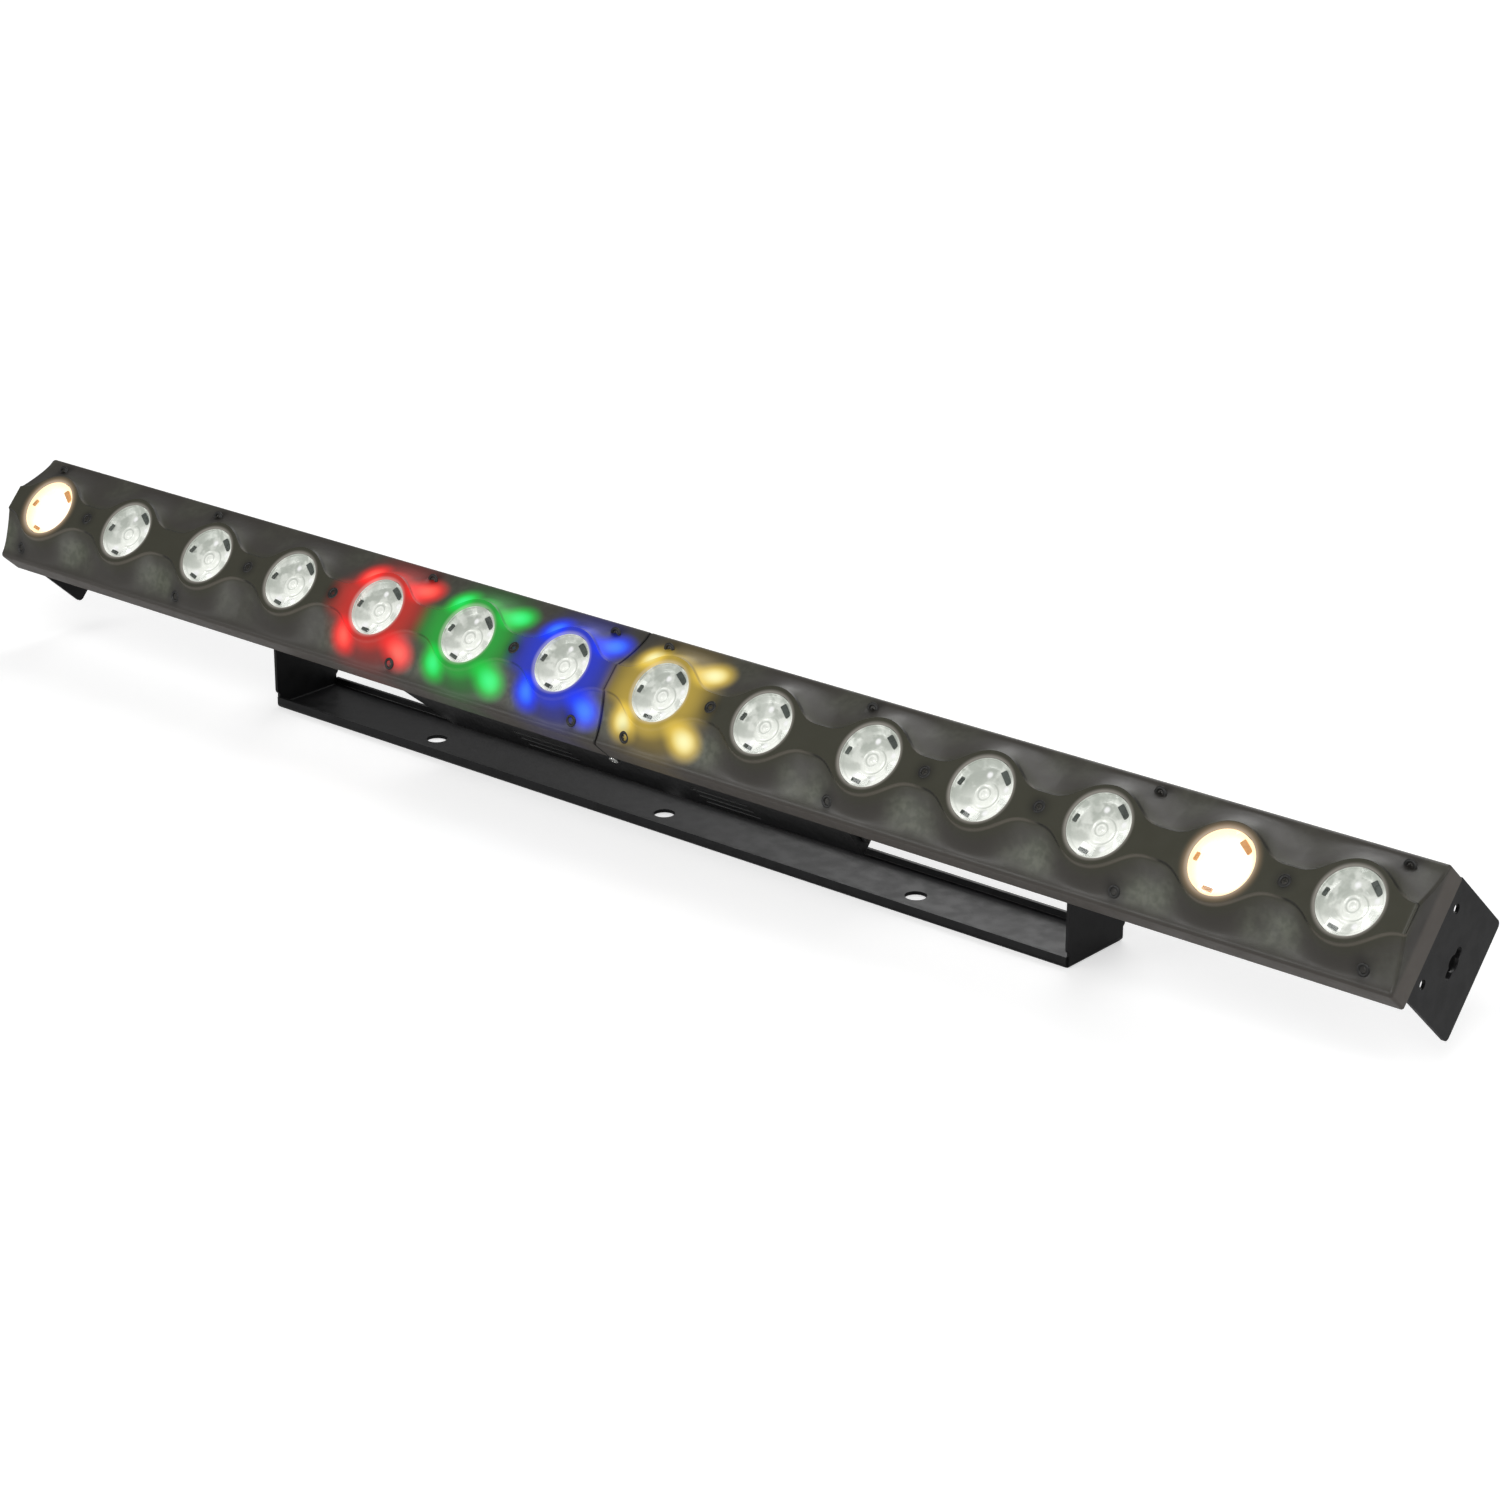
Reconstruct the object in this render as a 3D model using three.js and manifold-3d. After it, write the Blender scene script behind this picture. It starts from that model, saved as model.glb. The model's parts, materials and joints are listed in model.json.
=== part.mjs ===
// LED batten: a one metre bar of fourteen lensed white LEDs and fifty-six colour LEDs under two
// moulded smoked covers, on a tilting floor bracket.
// Millimetres, +Z up. The bar lies along X and faces -Y and up. The origin is under the middle
// of the object's box, on the surface that the bracket stands on.
// Bar pieces are drawn in the bar's own frame: x along the bar, y across the face and upwards,
// z out of the face, with z = 0 on the covers' raised band.

import * as THREE from 'three';
import { mergeVertices } from 'three/addons/utils/BufferGeometryUtils.js';
import Module from 'manifold-3d';

const wasm = await Module();
wasm.setup();

// ---- Driving dimensions ----------------------------------------------------------------------

const SLACK = 0.3; // gap between pieces that rest on each other
const SHEET = 2; // steel sheet of the brackets

const PITCH = 71.8; // lens to lens
const CELLS_PER_COVER = 7;
const END_TRIM = 2.6; // how much shorter the outermost cell is at its end
const HALF_LENGTH = CELLS_PER_COVER * PITCH - END_TRIM; // half of the one metre bar

const COVER_HEIGHT = 70;
const COVER_WALL = 2;
const COVER_DEPTH = 29.5; // raised band to rim
const SHOULDER_DEPTH = 13; // raised band to the long front corners
const BAND_HALF_HEIGHT = 7.8; // the band's neck between two lenses
const DOME_RADIUS = 21.5; // the band's round part about a lens
const SLOPE_STEPS = 3;
const SLOPE_POWER = 1.35; // hollow of the slopes
const CORNER_BREAK = 1.8;
const DOME_FOOT_MARGIN = 1; // round part's foot short of the cover's edge
const DOME_FOOT_CREEP = 1.3; // how fast that foot draws in with the wall

const LENS_RADIUS = 17.6;
const LENS_RIM = 2.6;
const LENS_BACK_RADIUS = 6.5;
const LENS_SINK = 0.6; // lens front below the raised band
const EMITTER_BASE_RADIUS = 4.6;
const EMITTER_BASE_HEIGHT = 1.4;
const EMITTER_DOME_RADIUS = 2.4;
const PIXEL_OFFSET_X = 21.3; // colour LEDs, from the lens centre
const PIXEL_OFFSET_Y = 19.7;
const PIXEL_SIZE = 5;
const PIXEL_HEIGHT = 1.6;

const BOARD_THICKNESS = 1.6;
const TRAY_SHEET = 1.6;
const TRAY_LIP = 7;
const CABLE_HOLE_X = [20, 50]; // from the boards into the box
const CABLE_HOLE_HALF_HEIGHT = 8;

const BOX_FRONT_LENGTH = 332;
const BOX_REAR_LENGTH = 304;
const BOX_DEPTH = 43;
const BOX_WALL = 1.4;
const BOX_INSET = 1.6; // box side below the cover side
const VENT_LENGTH = 40;
const VENT_WIDTH = 2.2;
const VENT_X = 66.5;
const VENT_DEPTHS = [17.6, 25.8, 34]; // from the box's front rim
const VENT_SKIN = 6; // cutter reach through a wall

const END_BRACKET_TOP = 36;
const END_BRACKET_BOTTOM = 29.2;
const END_BRACKET_DEPTH = 57;
const END_BRACKET_FLANGE = 16.6;
const END_BRACKET_INSET = 1.7; // plate behind the cover's end face
const END_HOLE_RADIUS = 2.6;
const END_HOLE_DEPTH = 10.2; // from the plate's front edge
const END_HOLES_Y = [22.6, -17.7];
const KEYHOLE_DEPTH = 30;
const KEYHOLE_Y = 2;
const KEYHOLE_LENGTH = 18;
const KEYHOLE_SLOT_RADIUS = 2.6;
const KEYHOLE_EYE_RADIUS = 4.6;
const PLATE_CORNER = 3;
const FRONT_FLANGE_MARGIN = 4; // flange end short of the tray's edge

const STAND_LENGTH = 585;
const STAND_WIDTH = 50;
const STAND_FRONT_LIP = 6.5;
const STAND_REAR_LIP = 6;
const STAND_HOLE_RADIUS = 6;
const STAND_HOLE_PITCH = 178;
const STAND_HOLE_FORWARD = 3.7;
const LIP_END_INSET = 1.5; // lip ends short of the tabs' outer faces
const STAND_BEND = 0.8; // break of the lips' lower edges
const TAB_CORNER = 6;

const PIVOT_HEIGHT = 52; // above the surface the bracket stands on
const PIVOT_DEPTH = 64; // behind the raised band
const FACE_LEAN = 48; // degrees that the face leans back from straight up
const TAB_ABOVE_PIVOT = 13;
const EAR_HALF_HEIGHT = 19;
const EAR_BEHIND_PIVOT = 13;
const EAR_FLANGE = 16;

const STUD_RADIUS = 4;
const STUD_CLEARANCE = 0.5;
const WASHER_RADIUS = 11;
const WASHER_THICKNESS = 1.6;
const NUT_RADIUS = 7.5;
const NUT_HEIGHT = 6.5;
const KNOB_RADIUS = 15;
const KNOB_LOBE = 1.8;
const KNOB_LOBES = 6;
const KNOB_THICKNESS = 12;
const KNOB_HUB_RADIUS = 8.5;
const KNOB_HUB_OUT = 3; // lobed head above the hub's foot

const SCREW_RADIUS = 1.5;
const SCREW_HEAD_RADIUS = 3.1;
const SCREW_HEAD_HEIGHT = 2;
const SCREW_LENGTH = 6;
const SCREW_DEPTH = 5.2; // from the box's front rim
const SCREW_TAB = 18; // tray tab that the screw goes into

const SOCKET_FLANGE = 27;
const SOCKET_FLANGE_THICKNESS = 2;
const SOCKET_BARREL_RADIUS = 11;
const SOCKET_BARREL_LENGTH = 15;
const SOCKET_RECESS_RADIUS = 9;
const SOCKET_RECESS_DEPTH = 10;
const SOCKET_Y = 15.6;
const SOCKET_CORNER = 3;
const SIGNAL_PIN = { radius: 1.2, spread: 5, height: 4 };
const SIGNAL_BORE = { radius: 1.4, spread: 4 };
const SIGNAL_CORE_RADIUS = 6.6;
const POWER_BLADE = { radius: 1.6, spread: 4.4, height: 3 };
const KEYWAY_RADIUS = 1.3;

const WINDOW_LENGTH = 46;
const WINDOW_HEIGHT = 18;
const WINDOW_THICKNESS = 1.2;
const WINDOW_Y = 8;
const WINDOW_FRAME = 3; // window's edge over the opening
const DISPLAY_MARGIN = 4; // window's edge to the display behind it
const BUTTON_RADIUS = 3.6;
const BUTTON_FLANGE_RADIUS = 5;
const BUTTON_FLANGE_HEIGHT = 1.2;
const BUTTON_OUT = 2.2;
const BUTTON_TRAVEL = 1;
const BUTTON_PITCH = 15;
const BUTTON_Y = -12;
const BUTTON_COUNT = 4;

const CONTROL_LENGTH = 96;
const CONTROL_HEIGHT = 52;
const CONTROL_DROP = 12; // board below the box's rear wall
const OVERLAP = 0.5; // how far parts of one piece run into each other
const SWITCH_HALF = 3;
const POST_RADIUS = 2.5;
const POST_INSET = 5;
const CHIP_CENTRES = [[-34, 10], [-12, -8], [18, 12], [34, -10]];
const CHIP_HALF = [6, 4];
const CHIP_HEIGHT = 2;
const SUPPLY_LENGTH = 78;
const SUPPLY_HEIGHT = 52;
const SUPPLY_DEPTH = 30;
const SUPPLY_X = -100;
const SUPPLY_MARGIN = 2; // sheet's edge to the board on it
const SUPPLY_BOARD_TOP = 6;
const TRANSFORMER_X = [-16, 14]; // from the supply's middle
const TRANSFORMER_Y = [-14, 16];
const TRANSFORMER_DROP = 4; // below the supply's height
const TERMINALS_LENGTH = 8;
const TERMINALS_TOP = 16;
const CAPACITOR_RADIUS = 7;
const CAPACITOR_X = 12; // from the supply's end
const CAPACITORS_Y = [-12, 8];
const CAPACITOR_DROP = 6;

// ---- Places worked out from them -------------------------------------------------------------

const HALF_COVER = COVER_HEIGHT / 2;
const TRAY_HALF = HALF_COVER - COVER_WALL - SLACK;
const TRAY_BACK = -COVER_DEPTH;
const TRAY_FRONT = TRAY_BACK + TRAY_SHEET;
const BOARD_BACK = TRAY_FRONT + SLACK;
const BOARD_FRONT = BOARD_BACK + BOARD_THICKNESS;
const BEHIND_TRAY = TRAY_BACK - SLACK;
const BOX_HALF_HEIGHT = HALF_COVER - BOX_INSET;
const BOX_REAR = BEHIND_TRAY - BOX_DEPTH;
const BOX_INSIDE_REAR = BOX_REAR + BOX_WALL;
const END_PLATE_X = HALF_LENGTH - END_BRACKET_INSET;
const TAB_INSIDE = STAND_LENGTH / 2 - SHEET;
const EAR_X = TAB_INSIDE - WASHER_THICKNESS - 2 * SLACK;
const BOX_TAPER = Math.atan2((BOX_FRONT_LENGTH - BOX_REAR_LENGTH) / 2, BOX_DEPTH);

// ---- Colours ---------------------------------------------------------------------------------

const finish = (color, roughness, metalness = 0) => (
  new THREE.MeshStandardMaterial({ color, roughness, metalness })
);
const PAINTED_STEEL = finish(0x1b1b1c, 0.55, 0.4);
const SMOKED_COVER = finish(0x4c4b43, 0.35);
const CLEAR_LENS = finish(0xe6ece6, 0.08);
const BOARD_GREEN = finish(0x2d4a35, 0.6);
const LED_BODY = finish(0xf2e7c9, 0.5);
const BLACK_PLASTIC = finish(0x141414, 0.5);
const PLATED_STEEL = finish(0xb9bbbd, 0.3, 1);
const GREY_METAL = finish(0x8d9092, 0.4, 0.9);
const DARK_WINDOW = finish(0x16060a, 0.12);

// ---- Geometry helpers ------------------------------------------------------------------------

function solid(geometry) {
  const bare = geometry.clone();
  bare.deleteAttribute('normal');
  bare.deleteAttribute('uv');
  const merged = mergeVertices(bare, 1e-4);
  return new wasm.Manifold(new wasm.Mesh({
    numProp: 3,
    vertProperties: new Float32Array(merged.attributes.position.array),
    triVerts: new Uint32Array(merged.index.array),
  }));
}

function geometryOf(body) {
  const mesh = body.getMesh();
  const geometry = new THREE.BufferGeometry();
  geometry.setAttribute('position', new THREE.BufferAttribute(mesh.vertProperties, 3));
  geometry.setIndex(new THREE.BufferAttribute(mesh.triVerts, 1));
  geometry.computeVertexNormals();
  return geometry;
}

function block([x0, y0, z0], [x1, y1, z1]) {
  const geometry = new THREE.BoxGeometry(x1 - x0, y1 - y0, z1 - z0);
  return solid(geometry.translate((x0 + x1) / 2, (y0 + y1) / 2, (z0 + z1) / 2));
}

// A round bar along z from z0 to z1.
function round(radius, [x, y], z0, z1, segments = 20, endRadius = radius) {
  const geometry = new THREE.CylinderGeometry(endRadius, radius, z1 - z0, segments);
  return solid(geometry.rotateX(Math.PI / 2).translate(x, y, (z0 + z1) / 2));
}

// A round bar along x from x0 to x1.
function roundX(radius, [y, z], x0, x1, segments = 20) {
  const geometry = new THREE.CylinderGeometry(radius, radius, x1 - x0, segments);
  return solid(geometry.rotateZ(Math.PI / 2).translate((x0 + x1) / 2, y, z));
}

// A round bar along y from y0 to y1.
function roundY(radius, [x, z], y0, y1, segments = 16) {
  const geometry = new THREE.CylinderGeometry(radius, radius, y1 - y0, segments);
  return solid(geometry.translate(x, (y0 + y1) / 2, z));
}

// An outline drawn in (y, z) and run along x from x0 to x1.
function alongX(points, x0, x1) {
  const shape = new THREE.Shape(points.map(([y, z]) => new THREE.Vector2(y, z)));
  const geometry = new THREE.ExtrudeGeometry(shape, { depth: x1 - x0, bevelEnabled: false });
  return solid(geometry.rotateX(Math.PI / 2).rotateZ(Math.PI / 2).translate(x0, 0, 0));
}

// An outline drawn in (x, z) and run along y from y0 to y1.
function alongY(points, y0, y1) {
  const shape = new THREE.Shape(points.map(([x, z]) => new THREE.Vector2(x, z)));
  const geometry = new THREE.ExtrudeGeometry(shape, { depth: y1 - y0, bevelEnabled: false });
  return solid(geometry.rotateX(Math.PI / 2).translate(0, y1, 0));
}

function union(bodies) {
  return bodies.reduce((whole, body) => whole.add(body));
}

function cut(body, tools) {
  return tools.reduce((rest, tool) => rest.subtract(tool), body);
}

// A rectangle with its four corners rounded, as [a, b] points.
function roundedOutline([a0, b0], [a1, b1], radius, steps = 3) {
  const corners = [[a1 - radius, b1 - radius], [a0 + radius, b1 - radius],
    [a0 + radius, b0 + radius], [a1 - radius, b0 + radius]];
  const points = [];
  corners.forEach(([a, b], quarter) => {
    for (let step = 0; step <= steps; step += 1) {
      const angle = (quarter + step / steps) * Math.PI / 2;
      points.push([a + radius * Math.cos(angle), b + radius * Math.sin(angle)]);
    }
  });
  return points;
}

function turned(profile, segments) {
  const points = profile.map(([radius, height]) => new THREE.Vector2(radius, height));
  return new THREE.LatheGeometry(points, segments).rotateX(Math.PI / 2);
}

function piece(name, shape, material) {
  const mesh = new THREE.Mesh(shape.isBufferGeometry ? shape : geometryOf(shape), material);
  mesh.name = name;
  return mesh;
}

// ---- Covers and what they hold ---------------------------------------------------------------

// The bell-shaped section of a cover, drawn in (y, z); inset gives the inner face.
function coverSection(inset) {
  const half = HALF_COVER - inset;
  const neck = BAND_HALF_HEIGHT - inset / 2;
  const shoulder = half - CORNER_BREAK;
  const drop = SHOULDER_DEPTH + inset / 4;
  const side = [];
  for (let step = 0; step <= SLOPE_STEPS; step += 1) {
    const share = step / SLOPE_STEPS;
    const depth = drop * (1 - (1 - share) ** SLOPE_POWER);
    side.push([neck + (shoulder - neck) * share, -inset - depth]);
  }
  side.push([half, -inset - drop - CORNER_BREAK]);
  side.push([half, -COVER_DEPTH - inset]);
  const otherSide = side.map(([y, z]) => [-y, z]).reverse();
  return [...otherSide, ...side];
}

function domes(first, inset) {
  const top = DOME_RADIUS - inset / 2;
  const bottom = HALF_COVER - DOME_FOOT_MARGIN - DOME_FOOT_CREEP * inset;
  const depth = -SHOULDER_DEPTH - inset;
  return lensCentres(first).map((x) => round(bottom, [x, 0], depth, -inset, 18, top));
}

function lensCentres(first) {
  return Array.from({ length: CELLS_PER_COVER }, (_, cell) => (first + cell + 0.5) * PITCH);
}

function makeCover(name, side) {
  const first = side < 0 ? -CELLS_PER_COVER : 0;
  const seam = SLACK / 2;
  const [x0, x1] = side < 0 ? [-HALF_LENGTH, -seam] : [seam, HALF_LENGTH];
  const rim = block([x0, -HALF_COVER, -COVER_DEPTH], [x1, HALF_COVER, 0.001]);
  const outside = union([alongX(coverSection(0), x0, x1), ...domes(first, 0)]).intersect(rim);
  const hollow = union([
    alongX(coverSection(COVER_WALL), x0 + COVER_WALL, x1 - COVER_WALL),
    ...domes(first, COVER_WALL),
  ]);
  const inside = hollow.intersect(block(
    [x0 + COVER_WALL, -HALF_COVER, -2 * COVER_DEPTH],
    [x1 - COVER_WALL, HALF_COVER, 1],
  ));
  const mouths = lensCentres(first).map((x) => (
    round(LENS_RADIUS + SLACK, [x, 0], -COVER_DEPTH, 1, 18)
  ));
  const seat = block(
    [Math.min(side, 0) * (COVER_WALL + 1), -TRAY_HALF - SLACK, -2 * COVER_DEPTH],
    [Math.max(side, 0) * (COVER_WALL + 1), TRAY_HALF + SLACK, TRAY_FRONT + SLACK],
  );
  return piece(name, cut(outside, [inside, seat, ...mouths]), SMOKED_COVER);
}

function makeLens(name) {
  const front = -LENS_SINK;
  const back = BOARD_FRONT + EMITTER_BASE_HEIGHT + SLACK;
  const pocketRadius = EMITTER_DOME_RADIUS + 2 * SLACK;
  const pocketTop = back + EMITTER_DOME_RADIUS + 2 * SLACK;
  const profile = [
    [0, pocketTop], [pocketRadius, pocketTop], [pocketRadius, back], [LENS_BACK_RADIUS, back],
    [LENS_RADIUS, front - LENS_RIM], [LENS_RADIUS, front], [0, front],
  ];
  return piece(name, turned(profile, 18), CLEAR_LENS);
}

function makeEmitter(name) {
  const base = BOARD_FRONT + SLACK / 2;
  const top = base + EMITTER_BASE_HEIGHT;
  const profile = [
    [0, base], [EMITTER_BASE_RADIUS, base], [EMITTER_BASE_RADIUS, top],
    [EMITTER_DOME_RADIUS, top], [0, top + EMITTER_DOME_RADIUS],
  ];
  return piece(name, turned(profile, 10), LED_BODY);
}

function addPixels(bar) {
  lensCentres(-CELLS_PER_COVER).concat(lensCentres(0)).forEach((x, index) => {
    const number = String(index + 1).padStart(2, '0');
    const lens = makeLens(`lens_${number}`);
    const emitter = makeEmitter(`emitter_${number}`);
    lens.position.x = x;
    emitter.position.x = x;
    bar.add(lens, emitter);
  });
}

function makeLedBoard(name, side) {
  const first = side < 0 ? -CELLS_PER_COVER : 0;
  const inner = COVER_WALL + 2 * SLACK;
  const outer = HALF_LENGTH - COVER_WALL - 2 * SLACK;
  const half = TRAY_HALF - TRAY_SHEET - SLACK;
  const [x0, x1] = side < 0 ? [-outer, -inner] : [inner, outer];
  const pixels = lensCentres(first).flatMap((x) => (
    [[1, 1], [1, -1], [-1, 1], [-1, -1]].map(([right, up]) => {
      const px = x + right * PIXEL_OFFSET_X;
      const py = up * PIXEL_OFFSET_Y;
      const reach = PIXEL_SIZE / 2;
      return block(
        [px - reach, py - reach, BOARD_FRONT - 0.5],
        [px + reach, py + reach, BOARD_FRONT + PIXEL_HEIGHT],
      );
    })
  ));
  const board = block([x0, -half, BOARD_BACK], [x1, half, BOARD_FRONT]);
  return piece(name, union([board, ...pixels]), BOARD_GREEN);
}

// The sheet tray that both covers, the boards, the box and the brackets are screwed to.
function makeTray() {
  const reach = HALF_LENGTH - COVER_WALL - SLACK;
  const floor = block([-reach, -TRAY_HALF, TRAY_BACK], [reach, TRAY_HALF, TRAY_FRONT]);
  const lips = [-1, 1].map((side) => {
    const [y0, y1] = [TRAY_HALF - TRAY_SHEET, TRAY_HALF].map((y) => y * side).sort((a, b) => a - b);
    return block([-reach, y0, TRAY_BACK], [reach, y1, TRAY_BACK + TRAY_LIP]);
  });
  const seamGap = COVER_WALL + SLACK;
  const seamNotch = block(
    [-seamGap - SLACK, -HALF_COVER, TRAY_FRONT + SLACK],
    [seamGap + SLACK, HALF_COVER, 0],
  );
  const tabs = [-1, 1].map((side) => {
    const outer = BOX_HALF_HEIGHT - BOX_WALL - SLACK;
    const [y0, y1] = [outer - TRAY_SHEET, outer].map((y) => y * side).sort((a, b) => a - b);
    return block(
      [-SCREW_TAB / 2, y0, TRAY_BACK - 2 * SCREW_DEPTH],
      [SCREW_TAB / 2, y1, TRAY_BACK + 0.5],
    );
  });
  const cableHole = block(
    [CABLE_HOLE_X[0], -CABLE_HOLE_HALF_HEIGHT, TRAY_BACK - 1],
    [CABLE_HOLE_X[1], CABLE_HOLE_HALF_HEIGHT, TRAY_FRONT + 1],
  );
  const whole = union([floor, ...lips, ...tabs]);
  return piece('light_tray', cut(whole, [seamNotch, cableHole, screwBore()]), PAINTED_STEEL);
}

function screwBore() {
  const reach = HALF_COVER + 1;
  const radius = SCREW_RADIUS + SLACK;
  return roundY(radius, [0, BEHIND_TRAY - SCREW_DEPTH], -reach, reach, 10);
}

function makeCentreScrew(name, side) {
  const wall = BOX_HALF_HEIGHT + SLACK;
  const place = [0, BEHIND_TRAY - SCREW_DEPTH];
  const head = roundY(SCREW_HEAD_RADIUS, place, wall, wall + SCREW_HEAD_HEIGHT, 12);
  const shank = roundY(SCREW_RADIUS, place, wall - SCREW_LENGTH, wall + 0.5, 10);
  const geometry = geometryOf(head.add(shank));
  if (side < 0) geometry.rotateZ(Math.PI);
  return piece(name, geometry, PLATED_STEEL);
}

// ---- End brackets ----------------------------------------------------------------------------

// Drawn for the +x end and turned about for the other, keeping top and bottom.
function makeEndBracket(name, side) {
  const front = BEHIND_TRAY;
  const rear = front - END_BRACKET_DEPTH;
  const top = END_BRACKET_TOP;
  const bottom = -END_BRACKET_BOTTOM;
  const plate = alongX(
    roundedOutline([bottom, rear], [top, front], PLATE_CORNER),
    END_PLATE_X - SHEET,
    END_PLATE_X,
  );
  const inner = END_PLATE_X - END_BRACKET_FLANGE;
  const inset = PLATE_CORNER + SHEET;
  const reach = TRAY_HALF - FRONT_FLANGE_MARGIN;
  const frontFlange = block([inner, -reach, front - SHEET], [END_PLATE_X, reach, front]);
  const rearFlange = block(
    [inner, bottom + 2 * inset, rear],
    [END_PLATE_X, top - inset, rear + SHEET],
  );
  const through = [END_PLATE_X - 2 * SHEET, END_PLATE_X + SHEET];
  const holes = END_HOLES_Y.map((y) => (
    roundX(END_HOLE_RADIUS, [y, front - END_HOLE_DEPTH], ...through, 12)
  ));
  const half = KEYHOLE_LENGTH / 2;
  const depth = front - KEYHOLE_DEPTH;
  const slot = alongX(roundedOutline(
    [KEYHOLE_Y - half, depth - KEYHOLE_SLOT_RADIUS],
    [KEYHOLE_Y + half, depth + KEYHOLE_SLOT_RADIUS],
    KEYHOLE_SLOT_RADIUS - 0.01,
  ), ...through);
  const eye = roundX(KEYHOLE_EYE_RADIUS, [KEYHOLE_Y, depth], ...through, 16);
  const bracket = cut(union([plate, frontFlange, rearFlange]), [...holes, slot, eye]);
  return piece(name, side < 0 ? bracket.mirror([1, 0, 0]) : bracket, PAINTED_STEEL);
}

// ---- Electronics box -------------------------------------------------------------------------

function boxOutline(inset) {
  const front = BOX_FRONT_LENGTH / 2 - inset;
  const rear = BOX_REAR_LENGTH / 2 - inset;
  const mouth = BEHIND_TRAY + inset;
  const lean = (front - rear) / BOX_DEPTH * inset;
  return [[front + lean, mouth], [-front - lean, mouth], [-rear, BOX_REAR + inset],
    [rear, BOX_REAR + inset]].reverse();
}

// Sockets sit on the box's leaning ends; z points out of the end face.
function socketPlace(side, up) {
  const holder = new THREE.Group();
  const middle = (BOX_FRONT_LENGTH + BOX_REAR_LENGTH) / 4;
  holder.position.set(side * middle, up * SOCKET_Y, BEHIND_TRAY - BOX_DEPTH / 2);
  holder.rotation.y = side * (Math.PI / 2 + BOX_TAPER);
  return holder;
}

function socketBores() {
  return [[-1, -1], [-1, 1], [1, -1], [1, 1]].map(([side, up]) => {
    const place = socketPlace(side, up);
    place.updateMatrix();
    const geometry = new THREE.CylinderGeometry(1, 1, 4 * BOX_WALL, 16);
    const radius = SOCKET_BARREL_RADIUS + SLACK;
    geometry.scale(radius, 1, radius).rotateX(Math.PI / 2).applyMatrix4(place.matrix);
    return solid(geometry);
  });
}

function makeBox() {
  const outside = alongY(boxOutline(0), -BOX_HALF_HEIGHT, BOX_HALF_HEIGHT);
  const inner = BOX_HALF_HEIGHT - BOX_WALL;
  const inside = alongY(boxOutline(BOX_WALL), -inner, inner);
  const vents = [-1, 1].flatMap((side) => VENT_DEPTHS.flatMap((depth) => (
    [-1, 1].map((end) => {
      const [x, z] = [end * VENT_X, BEHIND_TRAY - depth];
      const y = side * BOX_HALF_HEIGHT;
      return block(
        [x - VENT_LENGTH / 2, y - VENT_SKIN / 2, z - VENT_WIDTH / 2],
        [x + VENT_LENGTH / 2, y + VENT_SKIN / 2, z + VENT_WIDTH / 2],
      );
    })
  )));
  const hole = windowReach(WINDOW_FRAME);
  const windowHole = block(
    [-hole[0], WINDOW_Y - hole[1], BOX_REAR - 1],
    [hole[0], WINDOW_Y + hole[1], BOX_INSIDE_REAR + 1],
  );
  const buttonHoles = buttonCentres().map((x) => (
    round(BUTTON_RADIUS + SLACK, [x, BUTTON_Y], BOX_REAR - 1, BOX_INSIDE_REAR + 1, 12)
  ));
  const cutters = [inside, ...vents, windowHole, ...buttonHoles, ...socketBores(), screwBore()];
  return piece('electronics_box', cut(outside, cutters), PAINTED_STEEL);
}

// Half length and half height of the window's outline, set in by a margin.
function windowReach(margin) {
  return [WINDOW_LENGTH / 2 - margin, WINDOW_HEIGHT / 2 - margin];
}

function buttonCentres() {
  const middle = (BUTTON_COUNT - 1) / 2;
  return Array.from({ length: BUTTON_COUNT }, (_, index) => (index - middle) * BUTTON_PITCH);
}

function makeSocketShell() {
  const half = SOCKET_FLANGE / 2;
  const outline = roundedOutline([-half, -half], [half, half], SOCKET_CORNER);
  const shape = new THREE.Shape(outline.map(([x, y]) => new THREE.Vector2(x, y)));
  const flange = new THREE.ExtrudeGeometry(shape, {
    depth: SOCKET_FLANGE_THICKNESS,
    bevelEnabled: false,
  }).translate(0, 0, SLACK);
  const front = SLACK + SOCKET_FLANGE_THICKNESS;
  const barrel = round(SOCKET_BARREL_RADIUS, [0, 0], -SOCKET_BARREL_LENGTH, front - 0.5, 16);
  const recess = round(SOCKET_RECESS_RADIUS, [0, 0], front - SOCKET_RECESS_DEPTH, front + 1, 16);
  return solid(flange).add(barrel).subtract(recess);
}

// Three contacts on a circle, as bars from z0 to z1.
function contactTrio({ radius, spread }, z0, z1) {
  return [0, 1, 2].map((index) => {
    const angle = (index * 2 * Math.PI) / 3 + Math.PI / 2;
    return round(radius, [spread * Math.cos(angle), spread * Math.sin(angle)], z0, z1, 6);
  });
}

function makeSignalIn() {
  const floor = SLACK + SOCKET_FLANGE_THICKNESS - SOCKET_RECESS_DEPTH;
  const pins = contactTrio(SIGNAL_PIN, floor - 1, floor + SIGNAL_PIN.height);
  return piece('signal_in_socket', union([makeSocketShell(), ...pins]), BLACK_PLASTIC);
}

function makeSignalOut() {
  const floor = SLACK + SOCKET_FLANGE_THICKNESS - SOCKET_RECESS_DEPTH;
  const core = round(SIGNAL_CORE_RADIUS, [0, 0], floor - 1, SLACK, 12);
  const shell = cut(makeSocketShell().add(core), contactTrio(SIGNAL_BORE, floor, SLACK + 1));
  return piece('signal_out_socket', shell, BLACK_PLASTIC);
}

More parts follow.
